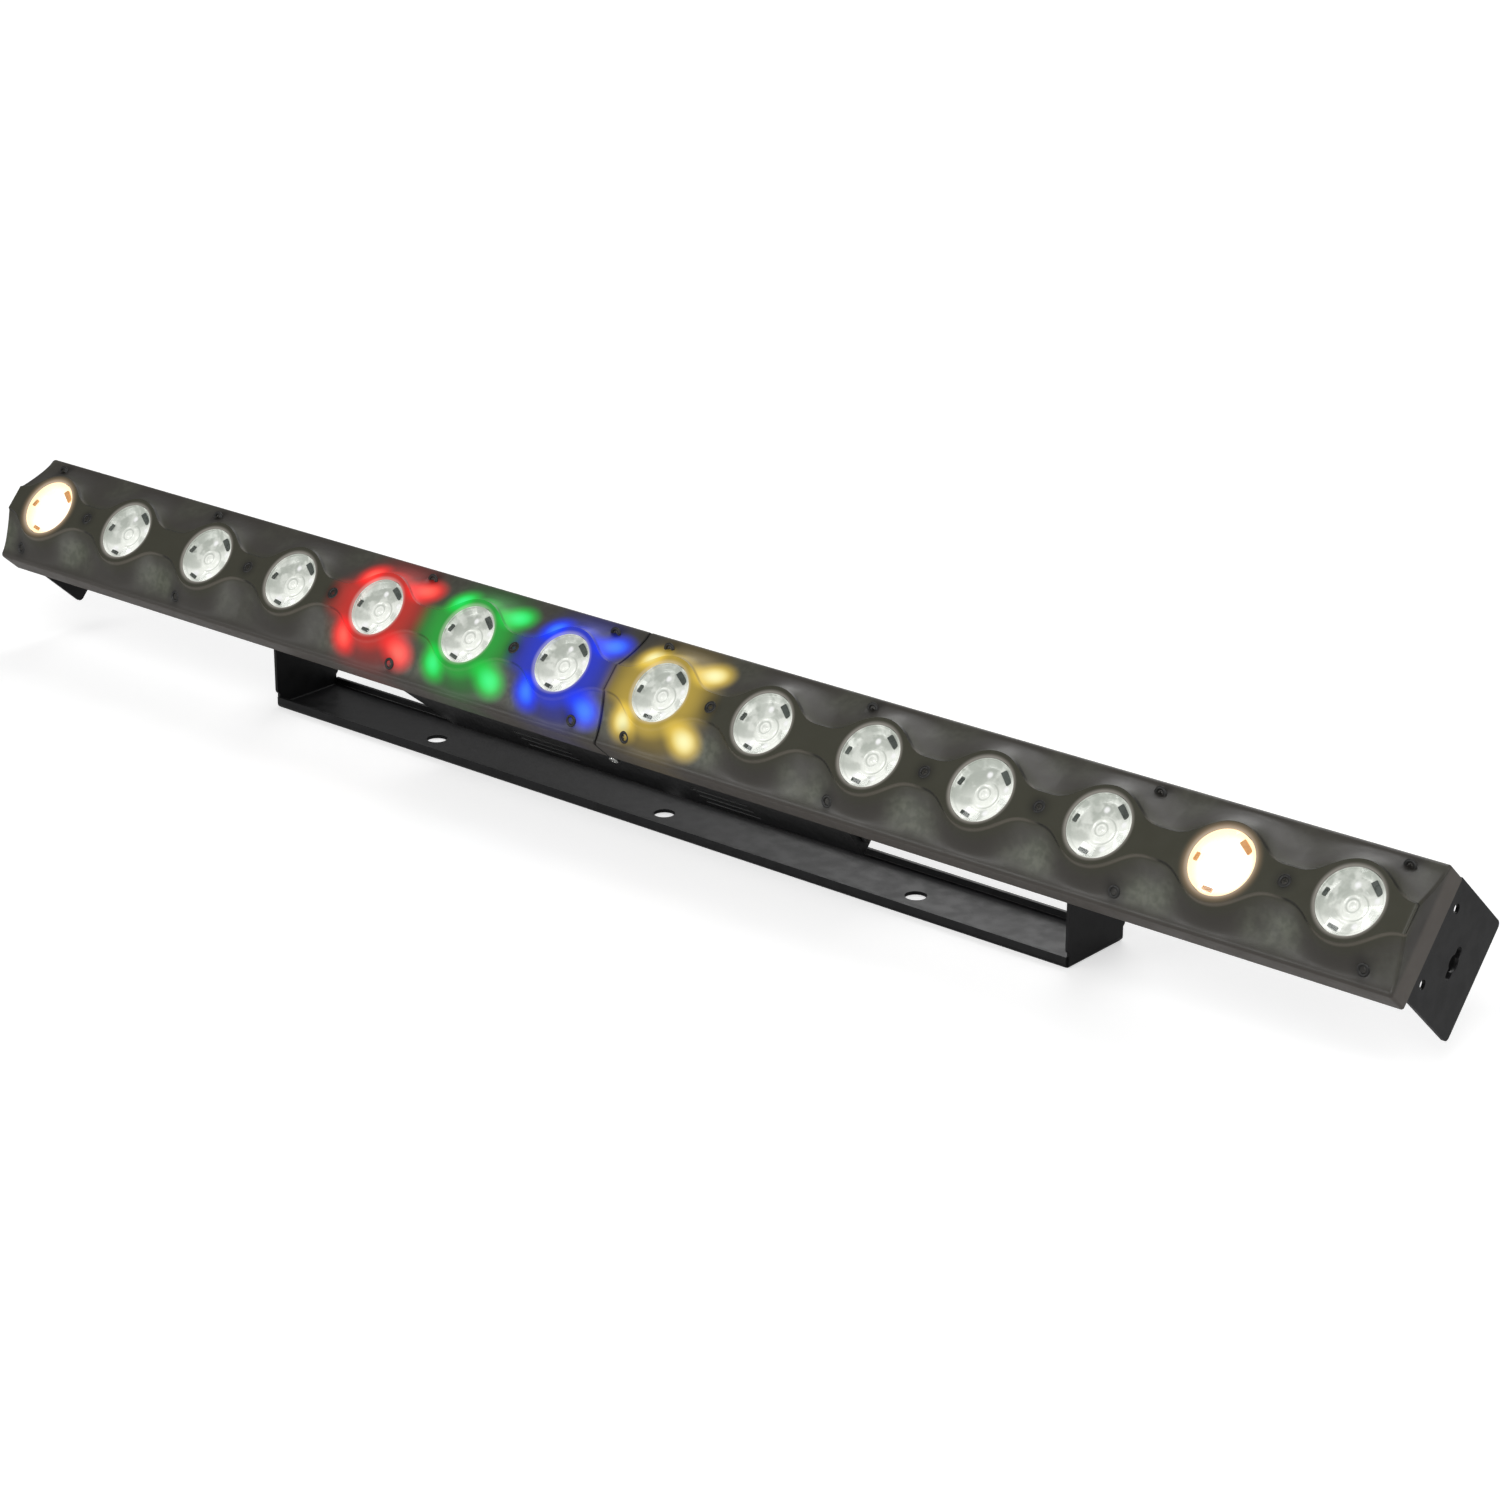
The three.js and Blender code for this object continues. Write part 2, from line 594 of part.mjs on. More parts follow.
function makePowerSocket(name, keyCount) {
  const floor = SLACK + SOCKET_FLANGE_THICKNESS - SOCKET_RECESS_DEPTH;
  const blades = contactTrio(POWER_BLADE, floor - 1, floor + POWER_BLADE.height);
  const keys = Array.from({ length: keyCount }, (_, index) => {
    const angle = (index * 2 * Math.PI) / keyCount;
    const centre = [SOCKET_RECESS_RADIUS * Math.cos(angle), SOCKET_RECESS_RADIUS * Math.sin(angle)];
    return round(KEYWAY_RADIUS, centre, floor - 1, SLACK + 1, 6);
  });
  return piece(name, union([makeSocketShell(), ...blades, ...keys]), BLACK_PLASTIC);
}

function addSockets(bar) {
  const sockets = [
    [makeSignalIn(), -1, 1], [makePowerSocket('power_in_socket', 3), -1, -1],
    [makeSignalOut(), 1, 1], [makePowerSocket('power_out_socket', 2), 1, -1],
  ];
  sockets.forEach(([socket, side, up]) => {
    const place = socketPlace(side, up);
    place.add(socket);
    bar.add(place);
  });
}

function makeWindow() {
  const top = BOX_REAR - SLACK;
  return piece('display_window', block(
    [-WINDOW_LENGTH / 2, WINDOW_Y - WINDOW_HEIGHT / 2, top - WINDOW_THICKNESS],
    [WINDOW_LENGTH / 2, WINDOW_Y + WINDOW_HEIGHT / 2, top],
  ), DARK_WINDOW);
}

function makeMenuButton(name, x) {
  const rest = BOX_INSIDE_REAR + SLACK;
  const profile = [
    [0, BOX_REAR - BUTTON_OUT], [BUTTON_RADIUS, BOX_REAR - BUTTON_OUT], [BUTTON_RADIUS, rest],
    [BUTTON_FLANGE_RADIUS, rest], [BUTTON_FLANGE_RADIUS, rest + BUTTON_FLANGE_HEIGHT],
    [0, rest + BUTTON_FLANGE_HEIGHT],
  ];
  const button = piece(name, turned(profile, 12), BLACK_PLASTIC);
  button.position.set(x, BUTTON_Y, 0);
  return button;
}

function makeControlBoard() {
  const back = BOX_INSIDE_REAR + CONTROL_DROP;
  const front = back + BOARD_THICKNESS;
  const reach = [CONTROL_LENGTH / 2, CONTROL_HEIGHT / 2];
  const board = block([-reach[0], -reach[1], back], [reach[0], reach[1], front]);
  const shown = windowReach(DISPLAY_MARGIN);
  const display = block(
    [-shown[0], WINDOW_Y - shown[1], BOX_INSIDE_REAR + SLACK],
    [shown[0], WINDOW_Y + shown[1], back + OVERLAP],
  );
  const switchTop = BOX_INSIDE_REAR + 2 * SLACK + BUTTON_FLANGE_HEIGHT + BUTTON_TRAVEL;
  const switches = buttonCentres().map((x) => (
    block(
      [x - SWITCH_HALF, BUTTON_Y - SWITCH_HALF, switchTop],
      [x + SWITCH_HALF, BUTTON_Y + SWITCH_HALF, back + OVERLAP],
    )
  ));
  const posts = [[-1, -1], [-1, 1], [1, -1], [1, 1]].map(([right, up]) => {
    const place = [right * (reach[0] - POST_INSET), up * (reach[1] - POST_INSET)];
    return round(POST_RADIUS, place, BOX_INSIDE_REAR + SLACK, back + OVERLAP, 10);
  });
  const chips = CHIP_CENTRES.map(([x, y]) => (
    block(
      [x - CHIP_HALF[0], y - CHIP_HALF[1], front - OVERLAP],
      [x + CHIP_HALF[0], y + CHIP_HALF[1], front + CHIP_HEIGHT],
    )
  ));
  const parts = [board, display, ...switches, ...posts, ...chips];
  return piece('control_board', union(parts), BOARD_GREEN);
}

function makePowerSupply() {
  const back = BOX_INSIDE_REAR + SLACK;
  const [x0, x1] = [SUPPLY_X - SUPPLY_LENGTH / 2, SUPPLY_X + SUPPLY_LENGTH / 2];
  const half = SUPPLY_HEIGHT / 2;
  const base = block([x0, -half, back], [x1, half, back + SHEET]);
  const wall = block([x0, half - SHEET, back], [x1, half, back + SUPPLY_DEPTH]);
  const foot = back + SUPPLY_BOARD_TOP - 1;
  const board = block(
    [x0 + SUPPLY_MARGIN, -half + SUPPLY_MARGIN, back + SHEET / 2],
    [x1 - SUPPLY_MARGIN, half - SHEET / 2, back + SUPPLY_BOARD_TOP],
  );
  const transformer = block(
    [SUPPLY_X + TRANSFORMER_X[0], TRANSFORMER_Y[0], foot],
    [SUPPLY_X + TRANSFORMER_X[1], TRANSFORMER_Y[1], back + SUPPLY_DEPTH - TRANSFORMER_DROP],
  );
  const terminals = block(
    [x1 - SUPPLY_MARGIN - TERMINALS_LENGTH, -half + 2 * SUPPLY_MARGIN, foot],
    [x1 - SUPPLY_MARGIN, half - 4 * SUPPLY_MARGIN, back + TERMINALS_TOP],
  );
  const capacitors = CAPACITORS_Y.map((y) => (
    round(CAPACITOR_RADIUS, [x0 + CAPACITOR_X, y], foot, back + SUPPLY_DEPTH - CAPACITOR_DROP, 14)
  ));
  const parts = [base, wall, board, transformer, terminals, ...capacitors];
  return piece('power_supply', union(parts), GREY_METAL);
}

// ---- Pivots ----------------------------------------------------------------------------------

// The bracket behind the tray that carries a pivot, drawn for the +x side.
function makeEar(name, side) {
  const rear = -PIVOT_DEPTH - EAR_BEHIND_PIVOT;
  const plate = alongX(
    roundedOutline([-EAR_HALF_HEIGHT, rear], [EAR_HALF_HEIGHT, BEHIND_TRAY], PLATE_CORNER),
    EAR_X - SHEET,
    EAR_X,
  );
  const foot = block(
    [EAR_X - EAR_FLANGE, -EAR_HALF_HEIGHT, BEHIND_TRAY - SHEET],
    [EAR_X, EAR_HALF_HEIGHT, BEHIND_TRAY],
  );
  const bore = studBore(EAR_X - 2 * SHEET, EAR_X + SHEET);
  const ear = plate.add(foot).subtract(bore);
  return piece(name, side < 0 ? ear.mirror([1, 0, 0]) : ear, PAINTED_STEEL);
}

function studBore(x0, x1) {
  return roundX(STUD_RADIUS + STUD_CLEARANCE, [0, -PIVOT_DEPTH], x0, x1, 12);
}

function makeNut(name, side) {
  const outer = EAR_X - SHEET - SLACK;
  const nut = roundX(NUT_RADIUS, [0, -PIVOT_DEPTH], outer - NUT_HEIGHT, outer, 6);
  const body = nut.subtract(studBore(outer - NUT_HEIGHT - 1, outer + 1));
  return piece(name, side < 0 ? body.mirror([1, 0, 0]) : body, PLATED_STEEL);
}

function makeWasher(name, side) {
  const inner = EAR_X + SLACK;
  const disc = roundX(WASHER_RADIUS, [0, -PIVOT_DEPTH], inner, inner + WASHER_THICKNESS, 16);
  const body = disc.subtract(studBore(inner - 1, inner + WASHER_THICKNESS + 1));
  return piece(name, side < 0 ? body.mirror([1, 0, 0]) : body, BLACK_PLASTIC);
}

// A lobed knob with its threaded stud, drawn for the +x side about the pivot axis.
function makeKnob(name, side) {
  const inner = STAND_LENGTH / 2 + SLACK;
  const points = Array.from({ length: 6 * KNOB_LOBES }, (_, index) => {
    const angle = (index / (6 * KNOB_LOBES)) * 2 * Math.PI;
    const radius = KNOB_RADIUS - KNOB_LOBE * (1 - Math.cos(KNOB_LOBES * angle)) / 2;
    return [radius * Math.cos(angle), radius * Math.sin(angle) - PIVOT_DEPTH];
  });
  const head = alongX(points, inner + KNOB_HUB_OUT, inner + KNOB_THICKNESS);
  const hub = roundX(KNOB_HUB_RADIUS, [0, -PIVOT_DEPTH], inner, inner + KNOB_HUB_OUT + 1, 12);
  const end = EAR_X - SHEET - SLACK - NUT_HEIGHT - 2;
  const stud = roundX(STUD_RADIUS, [0, -PIVOT_DEPTH], end, inner + 1, 12);
  const knob = union([head, hub, stud]);
  return piece(name, side < 0 ? knob.mirror([1, 0, 0]) : knob, BLACK_PLASTIC);
}

// ---- Floor bracket ---------------------------------------------------------------------------

// One folded sheet: floor with two folded lips and an upright tab at each end.
function makeStand() {
  const half = STAND_LENGTH / 2;
  const front = -STAND_WIDTH / 2;
  const rear = STAND_WIDTH / 2;
  const tabTop = PIVOT_HEIGHT + TAB_ABOVE_PIVOT;
  const inside = half - LIP_END_INSET;
  const floor = block([-half, front + SHEET, 0], [half, rear - SHEET, SHEET]);
  const frontLip = alongX(
    [[front, STAND_BEND], [front + STAND_BEND, 0], [front + 2 * SHEET, 0], [front + 2 * SHEET, SHEET],
      [front + SHEET, SHEET], [front + SHEET, STAND_FRONT_LIP], [front, STAND_FRONT_LIP]],
    -inside,
    inside,
  );
  const rearLip = alongX(
    [[rear - 2 * SHEET, 0], [rear - STAND_BEND, 0], [rear, STAND_BEND], [rear, STAND_REAR_LIP],
      [rear - SHEET, STAND_REAR_LIP], [rear - SHEET, SHEET], [rear - 2 * SHEET, SHEET]],
    -inside,
    inside,
  );
  const tabs = [-1, 1].map((side) => {
    const [x0, x1] = [half - SHEET, half].map((x) => x * side).sort((a, b) => a - b);
    const outline = [[front + SHEET, 0], [rear - SHEET, 0], [rear - 1, STAND_REAR_LIP + 1],
      [rear, STAND_REAR_LIP + 2], [rear, tabTop - TAB_CORNER], [rear - TAB_CORNER, tabTop],
      [front + TAB_CORNER, tabTop], [front, tabTop - TAB_CORNER], [front, STAND_FRONT_LIP + 2],
      [front + 1, STAND_FRONT_LIP + 1]];
    return alongX(outline, x0, x1);
  });
  const holes = [-1, 0, 1].map((index) => (
    round(STAND_HOLE_RADIUS, [index * STAND_HOLE_PITCH, -STAND_HOLE_FORWARD], -1, SHEET + 1, 16)
  ));
  const bore = roundX(STUD_RADIUS + STUD_CLEARANCE, [0, PIVOT_HEIGHT], -half - 1, half + 1, 12);
  const whole = union([floor, frontLip, rearLip, ...tabs]);
  return piece('floor_bracket', cut(whole, [...holes, bore]), PAINTED_STEEL);
}

// ---- Assembly --------------------------------------------------------------------------------

function makeBar() {
  const bar = new THREE.Group();
  bar.add(makeTray(), makeBox(), makeWindow(), makeControlBoard(), makePowerSupply());
  [['left', -1], ['right', 1]].forEach(([end, side]) => {
    bar.add(
      makeCover(`cover_${end}`, side),
      makeLedBoard(`led_board_${end}`, side),
      makeEndBracket(`end_bracket_${end}`, side),
      makeEar(`pivot_ear_${end}`, side),
      makeNut(`pivot_nut_${end}`, side),
      makeWasher(`friction_washer_${end}`, side),
      makeKnob(`tilt_knob_${end}`, side),
    );
  });
  bar.add(makeCentreScrew('centre_screw_bottom', -1), makeCentreScrew('centre_screw_top', 1));
  buttonCentres().forEach((x, index) => bar.add(makeMenuButton(`menu_button_${index + 1}`, x)));
  addPixels(bar);
  addSockets(bar);
  bar.position.z = PIVOT_DEPTH;
  return bar;
}

const tilt = new THREE.Group();
tilt.add(makeBar());
tilt.rotation.x = THREE.MathUtils.degToRad(FACE_LEAN);
tilt.position.z = PIVOT_HEIGHT;

const batten = new THREE.Group();
batten.add(makeStand(), tilt);
batten.updateMatrixWorld(true);
const extent = new THREE.Box3().setFromObject(batten, true);
batten.position.y = -(extent.min.y + extent.max.y) / 2;

export default batten;
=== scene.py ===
"""Looks of a one metre LED batten: fourteen LEDs under two smoked covers, on a floor bracket.

Everything is in metres and in the row's frame: +Z up, the bar along X, its face towards -Y and
up. Pieces of the bar are built in the bar's own frame (x along the bar, y across the face and
upwards, z out of the face, with z = 0 on the covers' raised band) and are then placed.
"""

from __future__ import annotations

import json
import logging
import math
from dataclasses import dataclass
from enum import Enum
from typing import Callable, ClassVar, Iterable, Sequence

import bmesh
import bpy
from mathutils import Matrix, Vector


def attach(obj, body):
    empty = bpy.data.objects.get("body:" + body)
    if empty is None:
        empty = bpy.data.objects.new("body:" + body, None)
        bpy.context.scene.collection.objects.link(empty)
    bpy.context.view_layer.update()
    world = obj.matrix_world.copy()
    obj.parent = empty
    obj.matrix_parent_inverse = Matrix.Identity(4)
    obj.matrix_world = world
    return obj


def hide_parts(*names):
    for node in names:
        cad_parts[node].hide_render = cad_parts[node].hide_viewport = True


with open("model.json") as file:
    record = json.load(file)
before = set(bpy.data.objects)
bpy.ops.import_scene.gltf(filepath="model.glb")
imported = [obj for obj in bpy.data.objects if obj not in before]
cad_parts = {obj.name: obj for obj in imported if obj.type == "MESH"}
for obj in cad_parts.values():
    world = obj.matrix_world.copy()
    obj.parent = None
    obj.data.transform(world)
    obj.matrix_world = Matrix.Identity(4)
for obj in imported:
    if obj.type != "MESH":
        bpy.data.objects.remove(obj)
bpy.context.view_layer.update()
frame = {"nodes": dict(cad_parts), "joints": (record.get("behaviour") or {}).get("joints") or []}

log = logging.getLogger("batten")
MM = 0.001
BROAD_AREA = 3e-6
BROAD_WIDTH = 1.1 * MM
WELD = 1e-7
LEVEL = 1e-6
BLACK = (0.0, 0.0, 0.0)
WHITE = (1.0, 1.0, 1.0)
Point = tuple[float, float]
Place = tuple[float, float, float]
Piece = bpy.types.Object
Material = bpy.types.Material
Socket = bpy.types.NodeSocket
Node = bpy.types.Node
Tree = bpy.types.NodeTree
Mesh = bmesh.types.BMesh
Vert = bmesh.types.BMVert
Edge = bmesh.types.BMEdge


class Side(Enum):
    """Which half or end of the bar a piece belongs to."""

    LEFT = -1
    RIGHT = 1

    @property
    def word(self) -> str:
        """The side as it stands in a piece's name."""
        return self.name.lower()


class Slot(str, Enum):
    """The record's material slots."""

    PAINT = "painted_steel"
    COVER = "smoked_cover"
    LENS = "clear_lens"
    LED = "led_package"
    BOARD = "circuit_board"
    SUPPLY = "supply_metal"
    WINDOW = "display_window"
    PLATED = "plated_steel"
    PLASTIC = "black_plastic"


class Glow(Enum):
    """Colours of the lit cells, with the cell each lights, counted from the seam."""

    RED = (-3, (1.0, 0.022, 0.020), (1.0, 0.13, 0.09))
    GREEN = (-2, (0.004, 0.62, 0.055), (0.03, 0.95, 0.22))
    BLUE = (-1, (0.006, 0.040, 1.0), (0.04, 0.22, 1.0))
    YELLOW = (0, (0.80, 0.56, 0.075), (1.0, 0.97, 0.50))

    @property
    def cell(self) -> int:
        """Index of the lit cell."""
        return self.value[0]

    @property
    def colour(self) -> Place:
        """Linear colour of the light."""
        return self.value[1]

    @property
    def core(self) -> Place:
        """Linear colour of the light's middle."""
        return self.value[2]


# ---- Layout shared by the pieces ------------------------------------------------------------


@dataclass(frozen=True)
class BarFrame:
    """The tilting bar's own frame at rest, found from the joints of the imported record."""

    origin: Vector
    up: Vector
    out: Vector

    @classmethod
    def from_joints(cls, joints: Sequence[dict], depth: float) -> BarFrame:
        """Finds the frame from the tilt axis and the way the menu keys slide.

        Args:
            joints: The record's joints.
            depth: Raised band to tilt axis.

        Returns:
            The bar's frame.
        """
        named = {joint["name"]: joint for joint in joints}
        out = Vector(named["menu_key_1_press"]["axis"]).normalized()
        up = out.cross(Vector((1, 0, 0)))
        return cls(Vector(named["tilt"]["pos_m"]) + out * depth, up, out)

    @property
    def matrix(self) -> Matrix:
        """Takes a point of the bar's frame to the row's frame."""
        columns = (Vector((1, 0, 0)), self.up, self.out, self.origin)
        return Matrix([[column[row] for column in columns] for row in range(3)] + [[0, 0, 0, 1]])

    @property
    def lean(self) -> float:
        """Angle that the bar's frame is turned about X."""
        return math.atan2(self.up.z, self.up.y)


@dataclass(frozen=True)
class Layout:
    """Sizes of the bar that more than one sub-assembly uses."""

    pitch: float = 71.8 * MM
    cells: int = 7
    half_length: float = 500 * MM
    half_height: float = 35 * MM
    cover_depth: float = 29.5 * MM
    slack: float = 0.3 * MM
    sheet: float = 2 * MM
    lens_radius: float = 17.6 * MM
    pivot_depth: float = 64 * MM
    pivot_height: float = 52 * MM
    stand_length: float = 585 * MM
    box_depth: float = 43 * MM

    @property
    def behind_tray(self) -> float:
        """Plane that the pieces behind the tray start from."""
        return -self.cover_depth - self.slack

    @property
    def ear_x(self) -> float:
        """Outer face of a pivot arm."""
        return self.stand_length / 2 - self.sheet - 1.6 * MM - 2 * self.slack

    def centres(self, side: Side) -> list[float]:
        """Lens centres of one cover, from left to right."""
        first = -self.cells if side is Side.LEFT else 0
        return [(first + cell + 0.5) * self.pitch for cell in range(self.cells)]


LAYOUT = Layout()
LENS_EYE = (1.6 * MM, -1.4 * MM)
BAR = BarFrame.from_joints(frame["joints"], LAYOUT.pivot_depth)


# ---- Mesh work ------------------------------------------------------------------------------


def arc(centre: Point, radius: float, start: float, stop: float, steps: int) -> list[Point]:
    """Points on an arc.

    Args:
        centre: Middle of the arc.
        radius: Its radius.
        start: First angle in degrees.
        stop: Last angle in degrees.
        steps: How many chords it has.

    Returns:
        The points, both ends included.
    """
    angles = [math.radians(start + (stop - start) * i / steps) for i in range(steps + 1)]
    return [(centre[0] + radius * math.cos(a), centre[1] + radius * math.sin(a)) for a in angles]


def rounded(low: Point, high: Point, radius: float, steps: int = 8) -> list[Point]:
    """A rectangle's outline with round corners.

    Args:
        low: Its low corner.
        high: Its high corner.
        radius: Radius of the corners.
        steps: Chords of each corner.

    Returns:
        The outline.
    """
    corners = [
        (high[0] - radius, high[1] - radius), (low[0] + radius, high[1] - radius),
        (low[0] + radius, low[1] + radius), (high[0] - radius, low[1] + radius),
    ]
    return [p for i, c in enumerate(corners) for p in arc(c, radius, 90 * i, 90 * i + 90, steps)]


def cross(wide: float, long: float) -> list[Point]:
    """A plus sign's outline, from the width and the length of its arms.

    Args:
        wide: Width of an arm.
        long: Length across both arms.

    Returns:
        The outline.
    """
    near, far = wide / 2, long / 2
    return [
        (near, near), (near, far), (-near, far), (-near, near), (-far, near), (-far, -near),
        (-near, -near), (-near, -far), (near, -far), (near, -near), (far, -near), (far, near),
    ]


def smooth(value: float) -> float:
    """Eases a value from 0 to 1."""
    value = min(1.0, max(0.0, value))
    return value * value * (3 - 2 * value)


class Shape:
    """A mesh in the making, put together from bmesh operators."""

    AXES = {
        "x": Matrix(((0, 0, 1, 0), (1, 0, 0, 0), (0, 1, 0, 0), (0, 0, 0, 1))),
        "y": Matrix(((1, 0, 0, 0), (0, 0, 1, 0), (0, 1, 0, 0), (0, 0, 0, 1))),
        "z": Matrix.Identity(4),
    }

    def __init__(self) -> None:
        """Starts with an empty mesh."""
        self.bm = bmesh.new()
        self.material = 0

    def dress(self, verts: Iterable[Vert]) -> list[Vert]:
        """Gives the faces of new vertices the current material index.

        Args:
            verts: The new vertices.

        Returns:
            The same vertices, as a list.
        """
        verts = list(verts)
        for face in {face for vert in verts for face in vert.link_faces}:
            face.material_index = self.material
        return verts

    def block(self, low: Place, high: Place) -> Shape:
        """Adds a box between two corners.

        Args:
            low: Its low corner.
            high: Its high corner.

        Returns:
            The same shape.
        """
        size = [b - a for a, b in zip(low, high)]
        middle = [(a + b) / 2 for a, b in zip(low, high)]
        matrix = Matrix.Translation(middle) @ Matrix.Diagonal((*size, 1))
        self.dress(bmesh.ops.create_cube(self.bm, size=1, matrix=matrix)["verts"])
        return self

    def rod(self, radius: float, at: Point, low: float, high: float, axis: str = "z",
            segments: int = 48, end_radius: float | None = None) -> Shape:
        """Adds a round bar.

        Args:
            radius: Its radius at the low end.
            at: Its place across the axis, in the axis's own order of the other two.
            low: Where it starts along the axis.
            high: Where it ends along the axis.
            axis: Which axis it runs along.
            segments: How many sides it has.
            end_radius: Its radius at the high end, if that differs.

        Returns:
            The same shape.
        """
        place = Matrix.Translation((*at, (low + high) / 2))
        top = radius if end_radius is None else end_radius
        made = bmesh.ops.create_cone(
            self.bm, cap_ends=True, segments=segments, radius1=radius, radius2=top,
            depth=high - low, matrix=self.AXES[axis] @ place,
        )
        self.dress(made["verts"])
        return self

    def slab(self, outline: Sequence[Point], low: float, high: float, axis: str = "z") -> Shape:
        """Adds an outline extruded along an axis.

        Args:
            outline: Points across the axis, in the axis's own order of the other two.
            low: Where it starts along the axis.
            high: Where it ends along the axis.
            axis: Which axis it runs along.

        Returns:
            The same shape.
        """
        verts = [self.bm.verts.new((a, b, low)) for a, b in outline]
        face = self.bm.faces.new(verts)
        made = bmesh.ops.extrude_face_region(self.bm, geom=[face])["geom"]
        tops = [item for item in made if isinstance(item, Vert)]
        bmesh.ops.translate(self.bm, verts=tops, vec=(0, 0, high - low))
        bmesh.ops.transform(self.bm, matrix=self.AXES[axis], verts=verts + tops)
        self.dress(verts + tops)
        return self

    def turned(self, profile: Sequence[Point], at: Place = (0, 0, 0), axis: str = "z",
               steps: int = 64, closed: bool = False) -> Shape:
        """Adds a profile spun once round an axis.

        Args:
            profile: Points of radius and height.
            at: Where the axis's foot stands.
            axis: Which way the height runs.
            steps: How many steps the turn has.
            closed: Whether the profile closes on itself, as a ring's does.

        Returns:
            The same shape.
        """
        verts = [self.bm.verts.new((radius, 0, height)) for radius, height in profile]
        pairs = list(zip(verts, verts[1:])) + ([(verts[-1], verts[0])] if closed else [])
        edges = [self.bm.edges.new(pair) for pair in pairs]
        made = bmesh.ops.spin(
            self.bm, geom=verts + edges, cent=(0, 0, 0), axis=(0, 0, 1),
            angle=2 * math.pi, steps=steps, use_merge=True, use_duplicate=False,
        )["geom_last"]
        grown = set(verts) | {item for item in made if isinstance(item, Vert)}
        grown = self._linked(grown)
        bmesh.ops.transform(
            self.bm, matrix=Matrix.Translation(at) @ self.AXES[axis], verts=list(grown)
        )
        self.dress(grown)
        return self

    @staticmethod
    def _linked(seeds: set[Vert]) -> set[Vert]:
        """Every vertex joined to the seeds by edges.

        Args:
            seeds: Where to start.

        Returns:
            The joined vertices, the seeds among them.
        """
        found, waiting = set(seeds), list(seeds)
        while waiting:
            for edge in waiting.pop().link_edges:
                for vert in edge.verts:
                    if vert not in found:
                        found.add(vert)
                        waiting.append(vert)
        return found

    def take(self, other: Shape) -> Shape:
        """Adds everything of another shape, which is used up.

        Args:
            other: The shape that is used up.

        Returns:
            The same shape.
        """
        mesh = bpy.data.meshes.new("taken")
        other.bm.to_mesh(mesh)
        other.bm.free()
        self.bm.from_mesh(mesh)
        bpy.data.meshes.remove(mesh)
        return self

    def use(self, material: int) -> Shape:
        """Sets the material index for what is added next."""
        self.material = material
        return self

    def moved(self, matrix: Matrix) -> Shape:
        """Moves everything added so far."""
        bmesh.ops.transform(self.bm, matrix=matrix, verts=self.bm.verts)
        return self

    def object(self, name: str) -> Piece:
        """Closes the mesh and hands it over as a new object.

        Args:
            name: Name of the object.

        Returns:
            The object.
        """
        self._close()
        return self.raw_object(name)

    def _close(self) -> None:
        """Merges vertices that meet and turns the faces outwards."""
        bmesh.ops.remove_doubles(self.bm, verts=self.bm.verts, dist=WELD)
        bmesh.ops.recalc_face_normals(self.bm, faces=self.bm.faces)

    def write_to(self, piece: Piece) -> None:
        """Closes the mesh and puts it in the place of a piece's own.

        Args:
            piece: The piece.
        """
        self._close()
        self.bm.to_mesh(piece.data)
        self.bm.free()
        shade(piece, 38)

    def raw_object(self, name: str) -> Piece:
        """Hands the mesh over as it is.

        Args:
            name: Name of the object.

        Returns:
            The object.
        """
        mesh = bpy.data.meshes.new(name)
        self.bm.to_mesh(mesh)
        self.bm.free()
        made = bpy.data.objects.new(name, mesh)
        bpy.context.scene.collection.objects.link(made)
        return made


def apply_modifiers(piece: Piece) -> None:
    """Turns a piece's modifiers into its mesh.

    Args:
        piece: The piece.
    """
    graph = bpy.context.evaluated_depsgraph_get()
    graph.update()
    mesh = bpy.data.meshes.new_from_object(piece.evaluated_get(graph))
    piece.modifiers.clear()
    piece.data = mesh


def combine(piece: Piece, tool: Shape, operation: str = "DIFFERENCE") -> None:
    """Cuts a shape out of a piece, or joins it on.

    Args:
        piece: The piece that changes.
        tool: The shape that is cut out or joined on.
        operation: DIFFERENCE or UNION.
    """
    other = tool.object("tool")
    change = piece.modifiers.new("change", "BOOLEAN")
    change.object = other
    change.operation = operation
    change.solver = "EXACT"
    apply_modifiers(piece)
    bpy.data.objects.remove(other)
    if not piece.data.polygons:
        raise RuntimeError(f"{piece.name} lost its mesh when it was cut")


def soften(piece: Piece, width: float, segments: int = 2, angle: float = 35) -> None:
    """Rounds a piece's sharp edges and shades it smooth.

    Args:
        piece: The piece.
        width: Width of the rounding.
        segments: How many steps it has.
        angle: Edges sharper than this, in degrees, are rounded.
    """
    if width:
        edge = piece.modifiers.new("edge", "BEVEL")
        edge.width = width
        edge.segments = segments
        edge.limit_method = "ANGLE"
        edge.angle_limit = math.radians(angle)
        edge.use_clamp_overlap = True
        apply_modifiers(piece)
    shade(piece, angle)


def shade(piece: Piece, angle: float) -> None:
    """Shades rounded edges and turned faces smooth, and broad flat faces flat.

    Args:
        piece: The piece.
        angle: Edges sharper than this, in degrees, stay sharp.
    """
    mesh = piece.data
    mesh.shade_smooth()
    mesh.set_sharp_from_angle(angle=math.radians(angle))
    for face in mesh.polygons:
        if face.area > BROAD_AREA:
            ends = [[mesh.vertices[i].co for i in key] for key in face.edge_keys]
            if face.area > BROAD_WIDTH / 2 * sum((a - b).length for a, b in ends):
                face.use_smooth = False


